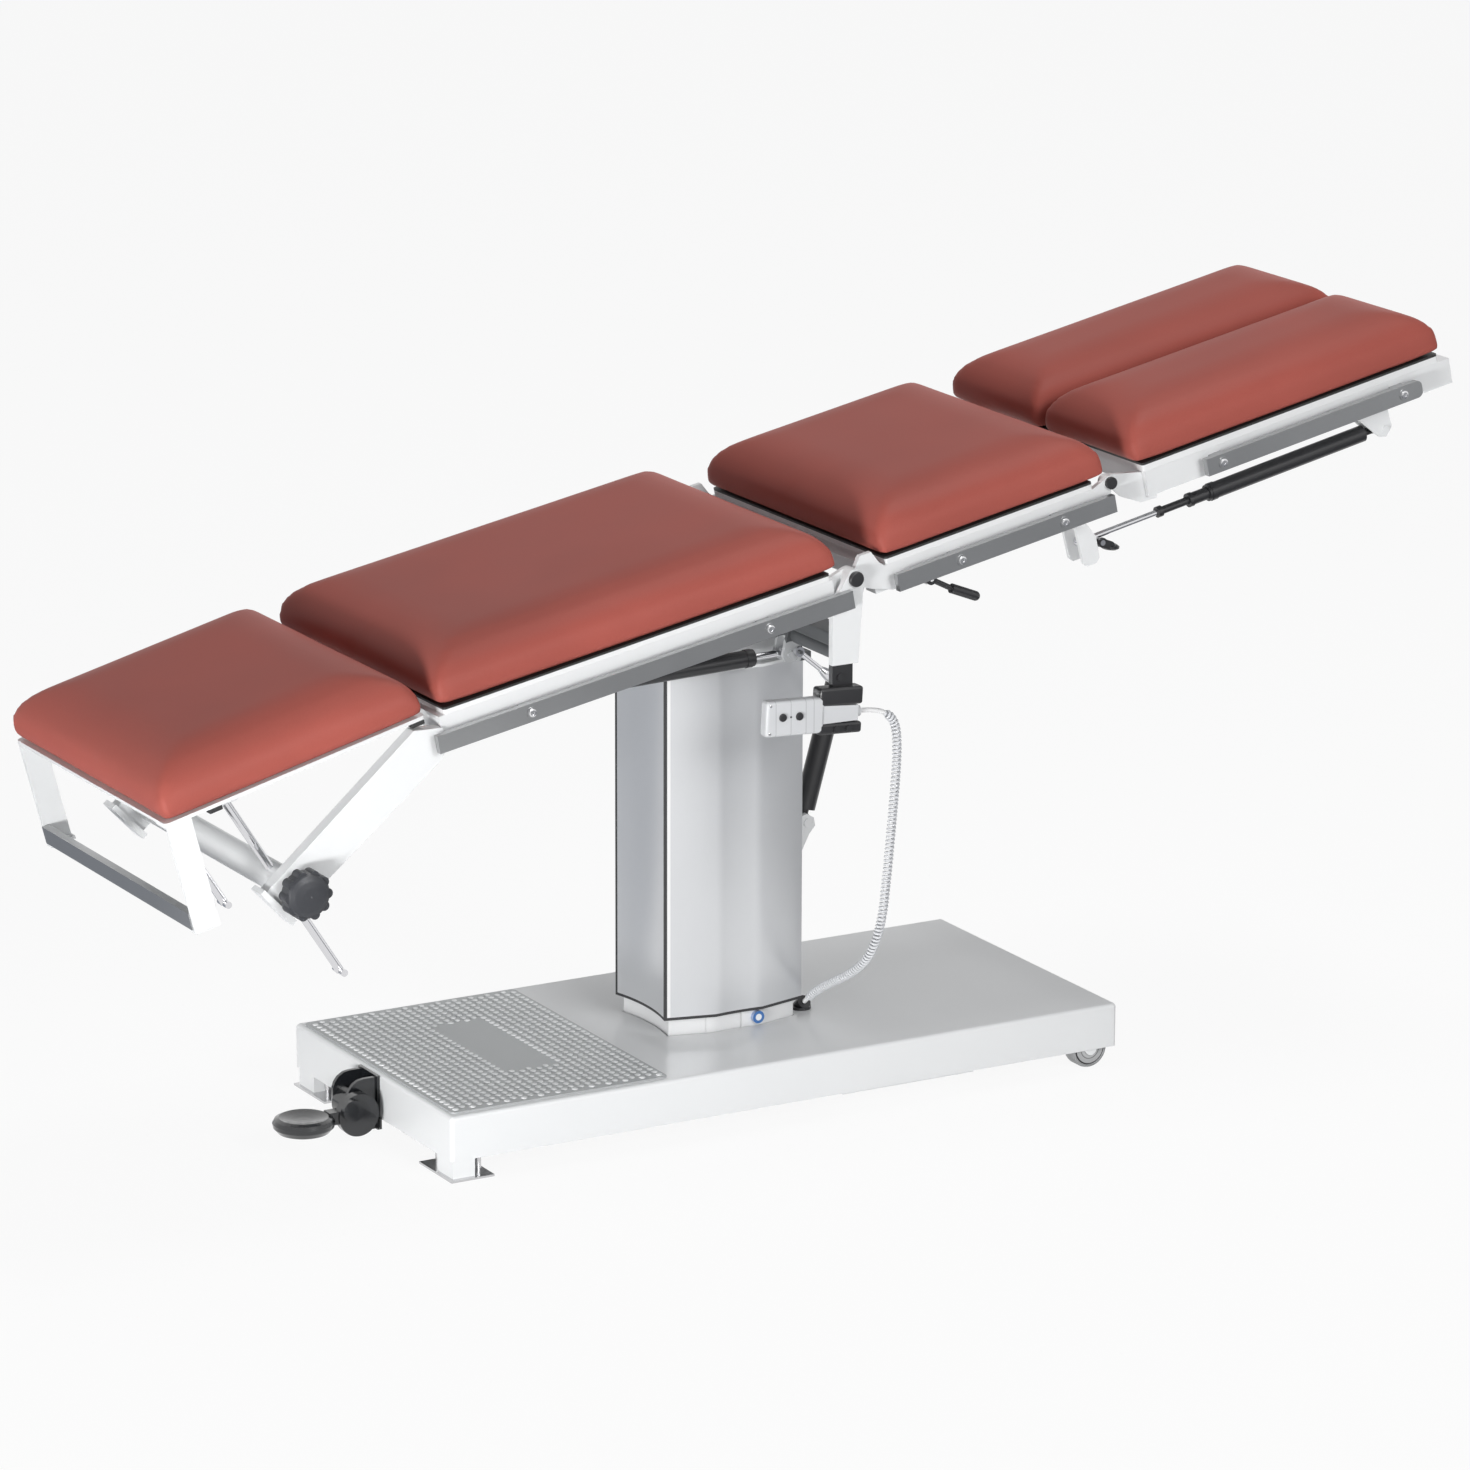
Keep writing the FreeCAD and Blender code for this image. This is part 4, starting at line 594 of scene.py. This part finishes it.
chromed_screw = finish("chromed_screw", (0.70, 0.70, 0.71), 0.18, metallic=1.0, drift=0.05,
                       grain=900, relief=0.02)
for number, (x, z) in enumerate(HANDSET_SCREWS):
    screw = small_screw("handset_screw_%d" % number, (x, HANDSET_FACE, z), 0.0022, 0.0006, 0.45)
    screw.data.materials.append(chromed_screw)
    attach(screw, "lift")
lamp_dot = small_screw("handset_dot", HANDSET_DOT, 0.0014, 0.0005, 0.6)
lamp_dot.data.materials.append(satin_black)
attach(lamp_dot, "lift")


# Curly cord: light grey coiled lead from the handset down to its gland in the base cover.
# The route is the same as the solid's; the helix follows its spline.

CORD_ROUTE = [
    (0.03036, -0.250, 0.57948), (0.05632, -0.250, 0.57812), (0.07882, -0.250, 0.56812),
    (0.0915, -0.24941, 0.5481), (0.094, -0.24703, 0.498), (0.089, -0.24347, 0.415), (0.083, -0.24109, 0.335),
    (0.077, -0.23792, 0.265), (0.0715, -0.21693, 0.213), (0.068, -0.17199, 0.177), (0.065, -0.12209, 0.151),
    (0.063, -0.075, 0.124), (0.062, -0.052, 0.104)]
COIL_RADIUS = 0.0049
WIRE_RADIUS = 0.0019
WIRE_SIDES = 6
COIL_PITCH = 0.0056
STEPS_A_TURN = 14
TURNS_TO_GROW = 1.5
FIRST_SHARE = 0.15
LEAD_IN = 0.040
LEAD_OUT = 0.010
LEAD_OVERLAP = 1.1
LEAD_RADIUS = 0.0033
LEAD_SIDES = 10
LEAD_STEPS = 7

route = bpy.data.curves.new("cord_route", "CURVE")
route.dimensions = "3D"
route.resolution_u = 24
line = route.splines.new("NURBS")
line.points.add(len(CORD_ROUTE) - 1)
for held, place in zip(line.points, CORD_ROUTE):
    held.co = (*place, 1)
line.order_u = 3
line.use_endpoint_u = True
route_object = bpy.data.objects.new("cord_route", route)
bpy.context.scene.collection.objects.link(route_object)
depsgraph = bpy.context.evaluated_depsgraph_get()
route_mesh = bpy.data.meshes.new_from_object(route_object.evaluated_get(depsgraph))
path = [v.co.copy() for v in route_mesh.vertices]
bpy.data.objects.remove(route_object)
travel = [0.0]
for a, b in zip(path, path[1:]):
    travel.append(travel[-1] + (b - a).length)
cord_length = travel[-1]


def on_route(distance):
    """Point and direction of the route at a distance along it."""
    distance = min(max(distance, 0), cord_length - 1e-6)
    k = 0
    while travel[k + 1] < distance:
        k += 1
    part = (distance - travel[k]) / (travel[k + 1] - travel[k])
    return path[k].lerp(path[k + 1], part), (path[k + 1] - path[k]).normalized()


def tube_mesh(name, points, radius, sides):
    """Round tube along points, closed at both ends."""
    made = bmesh.new()
    rings = []
    side = None
    for i, p in enumerate(points):
        ahead = points[min(i + 1, len(points) - 1)] - points[max(i - 1, 0)]
        ahead.normalize()
        if side is None:
            side = ahead.orthogonal().normalized()
        side = (side - ahead * side.dot(ahead)).normalized()
        across = ahead.cross(side)
        ring = []
        for k in range(sides):
            turn = 2 * math.pi * k / sides
            outward = side * math.cos(turn) + across * math.sin(turn)
            ring.append(made.verts.new(p + outward * radius))
        rings.append(ring)
    for low, high in zip(rings, rings[1:]):
        for k in range(sides):
            made.faces.new((low[k], low[(k + 1) % sides], high[(k + 1) % sides], high[k]))
    made.faces.new(list(reversed(rings[0])))
    made.faces.new(rings[-1])
    for face in made.faces:
        face.smooth = True
    data = bpy.data.meshes.new(name)
    made.to_mesh(data)
    made.free()
    piece = bpy.data.objects.new(name, data)
    bpy.context.scene.collection.objects.link(piece)
    return piece


helix = []
coiled = cord_length - LEAD_IN - LEAD_OUT
turns = int(coiled / COIL_PITCH)
steps = turns * STEPS_A_TURN
normal = Vector((0, 1, 0))
for i in range(steps + 1):
    share_done = i / steps
    centre, ahead = on_route(LEAD_IN + coiled * share_done)
    normal = (normal - ahead * normal.dot(ahead)).normalized()
    across = ahead.cross(normal)
    grow = min(1.0, share_done * turns / TURNS_TO_GROW, (1 - share_done) * turns / TURNS_TO_GROW)
    angle = 2 * math.pi * turns * share_done
    radius = COIL_RADIUS * (FIRST_SHARE + (1 - FIRST_SHARE) * grow)
    helix.append(centre + (normal * math.cos(angle) + across * math.sin(angle)) * radius)
cord_coat = finish("cord_coat", (0.66, 0.67, 0.69), 0.45, drift=0.06, grain=1200, relief=0.1)
coil = tube_mesh("cord_coil", helix, WIRE_RADIUS, WIRE_SIDES)
coil.data.materials.append(cord_coat)
lead_steps = range(LEAD_STEPS + 1)
upper = [on_route(LEAD_IN * LEAD_OVERLAP * k / LEAD_STEPS)[0] for k in lead_steps]
lower = [on_route(cord_length - LEAD_OUT * LEAD_OVERLAP * k / LEAD_STEPS)[0] for k in lead_steps]
upper_lead = tube_mesh("cord_lead_upper", upper, LEAD_RADIUS, LEAD_SIDES)
lower_lead = tube_mesh("cord_lead_lower", lower, LEAD_RADIUS, LEAD_SIDES)
clear_selection()
for piece in (upper_lead, lower_lead, coil):
    piece.select_set(True)
bpy.context.view_layer.objects.active = coil
bpy.ops.object.join()
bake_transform(coil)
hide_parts("control_cord")


# Back section: a white welded ladder frame with a black board, a red upholstered pad on top
# and a steel rail on each side. It turns on the table's pivot and carries the head rest's arms.

TABLE_PIVOT = (0.0232, 0, 0.7652)
BACK_TILT = 10.9
BACK_FLANGE = 0.0122
BACK_RAIL_SCREWS = (-0.516, -0.146)
BACK_PAD = (-0.641, -0.017)
BACK_PAD_LOW = 0.0155
FLANGE_TONE = (0.80, 0.81, 0.815)
FLANGE_FADE = 0.0004
RAIL_LOW = -0.036
RAIL_HALF = 0.0125
RAIL_FACE = -0.2635
RAIL_SCREW_RADIUS = 0.0056
RAIL_SCREW_HEIGHT = 0.0012
NEAR = -1
FAR = 1
PAD_HALF = 0.250
PAD_HEIGHT = 0.074
PAD_EDGE = 0.019
PAD_SHOULDER = 0.088
PAD_PROFILE = ((0.05, 0.28), (0.18, 0.56), (0.40, 0.78), (0.68, 0.92), (0.96, 0.98))
PAD_GAP = 0.001
PAD_MARGIN = 0.005
PAD_BEVEL = 0.003
PAD_VOXEL = 0.0075
SWELL_FRAMES = 10
SWELL_QUALITY = 5
SWELL_MASS = 0.3
SWELL_STIFFNESS = 25
SWELL_BENDING = 1.0
SWELL_PRESSURE = 2.5
SWELL_LIMIT = 0.003
EASE_ROUNDS = 8

dress(["back_frame", "head_arms"], white_paint)


def edged_board(name, hinge, tilt, level):
    """Black board paint, white below a level, where the board sits in the frame's flange."""
    made = finish(name, (0.02, 0.02, 0.02), 0.5, drift=0.2, grain=500, relief=0.1)
    tree = made.node_tree
    place = tree.nodes.new("ShaderNodeTexCoord")
    offset = tree.nodes.new("ShaderNodeVectorMath")
    offset.operation = "SUBTRACT"
    offset.inputs[1].default_value = hinge
    upright = (-math.sin(math.radians(tilt)), 0, math.cos(math.radians(tilt)))
    height = tree.nodes.new("ShaderNodeVectorMath")
    height.operation = "DOT_PRODUCT"
    height.inputs[1].default_value = upright
    fade = tree.nodes.new("ShaderNodeMapRange")
    fade.inputs["From Min"].default_value = level
    fade.inputs["From Max"].default_value = level + FLANGE_FADE
    fade.inputs["To Min"].default_value = 1.0
    fade.inputs["To Max"].default_value = 0.0
    tree.links.new(place.outputs["Object"], offset.inputs[0])
    tree.links.new(offset.outputs[0], height.inputs[0])
    tree.links.new(height.outputs["Value"], fade.inputs["Value"])
    recolour(made, fade.outputs["Result"], FLANGE_TONE)
    return made


dress(["back_board"], edged_board("back_board_edge", TABLE_PIVOT, BACK_TILT, BACK_FLANGE))
brushed_steel = finish("brushed_steel", (0.40, 0.405, 0.41), 0.3, metallic=1.0, drift=0.16, grain=120,
                       relief=0.08, stretch=(0.6, 16, 16))
dress(["back_rails"], brushed_steel)


def on_section(hinge, tilt):
    """Matrix that sets a piece, made level with its hinge at the origin, in its section's place."""
    return Matrix.Translation(Vector(hinge)) @ Matrix.Rotation(-math.radians(tilt), 4, "Y")


def rail_screws(name, hinge, tilt, spots, low, sides, body):
    """Bright socket screw heads in the rail's holes, mirrored for the far side."""
    made = []
    for u in spots:
        for side in sides:
            screw = small_screw("%s_%d" % (name, len(made)), (u, RAIL_FACE, low + RAIL_HALF),
                                RAIL_SCREW_RADIUS, RAIL_SCREW_HEIGHT, 0.5)
            screw.data.transform(on_section(hinge, tilt))
            if side == FAR:
                screw.data.transform(Matrix.Scale(-1, 4, (0, 1, 0)))
                screw.data.flip_normals()
            made.append(screw)
    clear_selection()
    for screw in made:
        screw.select_set(True)
    bpy.context.view_layer.objects.active = made[0]
    bpy.ops.object.join()
    made[0].name = name
    made[0].data.materials.append(chromed_screw)
    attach(made[0], body)


rail_screws("back_rail_screws", TABLE_PIVOT, BACK_TILT, BACK_RAIL_SCREWS, RAIL_LOW, (NEAR, FAR), "back")


def leather_finish():
    """Smooth coated leather: brick red with a faint pebble, slow worn patches and little shine."""
    made = finish("red_leather", (0.375, 0.092, 0.072), 0.48, drift=0.14, grain=420, relief=0.12,
                  depth=0.0005, specular=0.10)
    tree = made.node_tree
    patches = tree.nodes.new("ShaderNodeTexNoise")
    patches.inputs["Scale"].default_value = 3.2
    patches.inputs["Detail"].default_value = 2
    fade = tree.nodes.new("ShaderNodeMapRange")
    fade.inputs["From Min"].default_value = 0.42
    fade.inputs["From Max"].default_value = 0.70
    fade.inputs["To Max"].default_value = 0.30
    place = tree.nodes.new("ShaderNodeTexCoord")
    tree.links.new(place.outputs["Object"], patches.inputs["Vector"])
    tree.links.new(patches.outputs["Fac"], fade.inputs["Value"])
    recolour(made, fade.outputs["Result"], (0.22, 0.062, 0.050))
    return made


red_leather = leather_finish()


def upholster(name, u0, u1, y0, y1, low, tilt, hinge, node, body):
    """One pad: a block drawn in over long soft shoulders, then swollen as cloth and eased."""
    clear_selection()
    start = low + PAD_GAP
    bpy.ops.mesh.primitive_cube_add(size=1, location=((u0 + u1) / 2, (y0 + y1) / 2,
                                                      start + PAD_EDGE / 2))
    pad = bpy.context.object
    pad.name = name
    pad.scale = (u1 - u0 - PAD_MARGIN, y1 - y0 - PAD_MARGIN, PAD_EDGE)
    bpy.ops.object.transform_apply(location=True, rotation=True, scale=True)
    bpy.ops.object.mode_set(mode="EDIT")
    select_facing(pad, (0, 0, 1))
    drawn_in = 0.0
    risen = 0.0
    rise = PAD_HEIGHT - PAD_EDGE - SWELL_LIMIT
    for share_in, share_up in PAD_PROFILE:
        bpy.ops.mesh.inset(thickness=PAD_SHOULDER * (share_in - drawn_in), depth=0)
        bpy.ops.transform.translate(value=(0, 0, rise * (share_up - risen)))
        drawn_in = share_in
        risen = share_up
    bpy.ops.mesh.select_all(action="SELECT")
    bpy.ops.mesh.bevel(offset=PAD_BEVEL, segments=2, affect="EDGES")
    bpy.ops.object.mode_set(mode="OBJECT")
    remesh = pad.modifiers.new("even", "REMESH")
    remesh.mode = "VOXEL"
    remesh.voxel_size = PAD_VOXEL
    remesh.use_smooth_shade = True
    bpy.ops.object.modifier_apply(modifier="even")
    before = [v.co.copy() for v in pad.data.vertices]
    cloth = pad.modifiers.new("swell", "CLOTH")
    cloth.settings.quality = SWELL_QUALITY
    cloth.settings.mass = SWELL_MASS
    cloth.settings.tension_stiffness = SWELL_STIFFNESS
    cloth.settings.compression_stiffness = SWELL_STIFFNESS
    cloth.settings.bending_stiffness = SWELL_BENDING
    cloth.settings.use_pressure = True
    cloth.settings.uniform_pressure_force = SWELL_PRESSURE
    cloth.settings.effector_weights.gravity = 0
    cloth.collision_settings.use_collision = False
    cloth.point_cache.frame_start = 1
    cloth.point_cache.frame_end = SWELL_FRAMES
    for step in range(1, SWELL_FRAMES + 1):
        bpy.context.scene.frame_set(step)
    depsgraph = bpy.context.evaluated_depsgraph_get()
    after = [v.co.copy() for v in pad.evaluated_get(depsgraph).data.vertices]
    pad.modifiers.remove(cloth)
    bpy.context.scene.frame_set(1)
    for vertex, old, new in zip(pad.data.vertices, before, after):
        move = new - old
        if move.length > SWELL_LIMIT:
            move = move.normalized() * SWELL_LIMIT
        vertex.co = old + move
    ease = pad.modifiers.new("ease", "SMOOTH")
    ease.factor = 0.5
    ease.iterations = EASE_ROUNDS
    bpy.ops.object.modifier_apply(modifier="ease")
    for vertex in pad.data.vertices:
        vertex.co.z = max(vertex.co.z, start)
    pad.data.transform(on_section(hinge, tilt))
    pad.data.materials.append(red_leather)
    for face in pad.data.polygons:
        face.use_smooth = True
    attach(pad, body)
    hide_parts(node)


upholster("back_cushion", *BACK_PAD, -PAD_HALF, PAD_HALF, BACK_PAD_LOW, BACK_TILT, TABLE_PIVOT,
          "back_pad", "back")


# Head rest: a padded white plate on two flat legs joined by a cross rail, with small rubber stops.
# Chromed rods carry it in a clamp tube between the arms, which the black star knob tightens.

HEAD_HINGE = (-0.627, 0, 0.642)
HEAD_TILT = 14.6
HEAD_PAD = (-0.391, 0.006)
HEAD_PAD_LOW = 0.013
STOP_PLACES = ((-0.313, -0.234), (-0.313, 0.234), (-0.009, -0.234), (-0.009, 0.234))
STOP_SIZE = (0.0196, 0.0134, 0.0066)
STOP_LEVEL = 0.0048
STOP_BEVEL = 0.0014

dress(["head_plate", "head_legs", "head_clamp"], white_paint)
dress(["head_rail"], brushed_steel)
dress(["head_rods"], chrome)
knob_black = finish("knob_black", (0.030, 0.032, 0.038), 0.42, drift=0.2, grain=900, relief=0.1)
dress(["head_knob"], knob_black)
black_rubber = finish("black_rubber", (0.022, 0.022, 0.023), 0.65, drift=0.2, grain=900, relief=0.15)


def rubber_block(name, u, y, hinge, tilt, body):
    """Small moulded rubber stop under the head plate's edge."""
    clear_selection()
    bpy.ops.mesh.primitive_cube_add(size=1, location=(u, y, STOP_LEVEL))
    stop = bpy.context.object
    stop.name = name
    stop.scale = STOP_SIZE
    bpy.ops.object.transform_apply(location=True, rotation=True, scale=True)
    bpy.ops.object.mode_set(mode="EDIT")
    bpy.ops.mesh.select_all(action="SELECT")
    bpy.ops.mesh.bevel(offset=STOP_BEVEL, segments=3, affect="EDGES")
    bpy.ops.object.mode_set(mode="OBJECT")
    stop.data.transform(on_section(hinge, tilt))
    stop.data.materials.append(black_rubber)
    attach(stop, body)


for number, (u, y) in enumerate(STOP_PLACES):
    rubber_block("head_stop_%d" % number, u, y, HEAD_HINGE, HEAD_TILT, "head")
upholster("head_cushion", *HEAD_PAD, -PAD_HALF, PAD_HALF, HEAD_PAD_LOW, HEAD_TILT, HEAD_HINGE,
          "head_pad", "head")


# Seat section: a short white frame with side plates, hinge ears and forks for the gas springs.
# A black board, a red pad and two steel rails lie on it, and its black release lever hangs below.

SEAT_TILT = 11.7
SEAT_FLANGE = 0.0070
SEAT_RAIL_SCREWS = (0.161, 0.330)
SEAT_PAD = (0.0455, 0.4217)
SEAT_PAD_LOW = 0.0105

dress(["seat_frame"], white_paint)
dress(["seat_board"], edged_board("seat_board_edge", TABLE_PIVOT, SEAT_TILT, SEAT_FLANGE))
dress(["seat_rails"], brushed_steel)
dress(["leg_pins", "seat_lever"], satin_black)
rail_screws("seat_rail_screws", TABLE_PIVOT, SEAT_TILT, SEAT_RAIL_SCREWS, RAIL_LOW, (NEAR, FAR), "seat")
upholster("seat_cushion", *SEAT_PAD, -PAD_HALF, PAD_HALF, SEAT_PAD_LOW, SEAT_TILT, TABLE_PIVOT,
          "seat_pad", "seat")


# Leg sections: two equal halves hinged on the seat, each with its own white frame, board, red pad
# and outer rail. A gas spring with an oval release paddle holds each half up.

LEG_PIVOT = (0.437411, 0, 0.850979)
LEG_TILT = 12.1
LEG_FLANGE = 0.0060
LEG_RAIL_LOW = -0.035
LEG_RAIL_SCREWS = (0.1725, 0.483)
LEG_PAD = (0.037, 0.572)
LEG_PAD_LOW = 0.0095
LEG_SPLIT_HALF = 0.003
LEG_HALVES = (("near", NEAR, -PAD_HALF, -LEG_SPLIT_HALF), ("far", FAR, LEG_SPLIT_HALF, PAD_HALF))

leg_board_edge = edged_board("leg_board_edge", LEG_PIVOT, LEG_TILT, LEG_FLANGE)
for side, outward, y0, y1 in LEG_HALVES:
    dress(["leg_frame_" + side], white_paint)
    dress(["leg_board_" + side], leg_board_edge)
    dress(["leg_rail_" + side], brushed_steel)
    dress(["leg_cylinder_" + side, "leg_paddle_" + side], satin_black)
    dress(["leg_rod_" + side], chrome)
    rail_screws("leg_rail_screws_" + side, LEG_PIVOT, LEG_TILT, LEG_RAIL_SCREWS, LEG_RAIL_LOW, (outward,),
                "leg_" + side)
    upholster("leg_cushion_" + side, *LEG_PAD, y0, y1, LEG_PAD_LOW, LEG_TILT, LEG_PIVOT,
              "leg_pad_" + side, "leg_" + side)
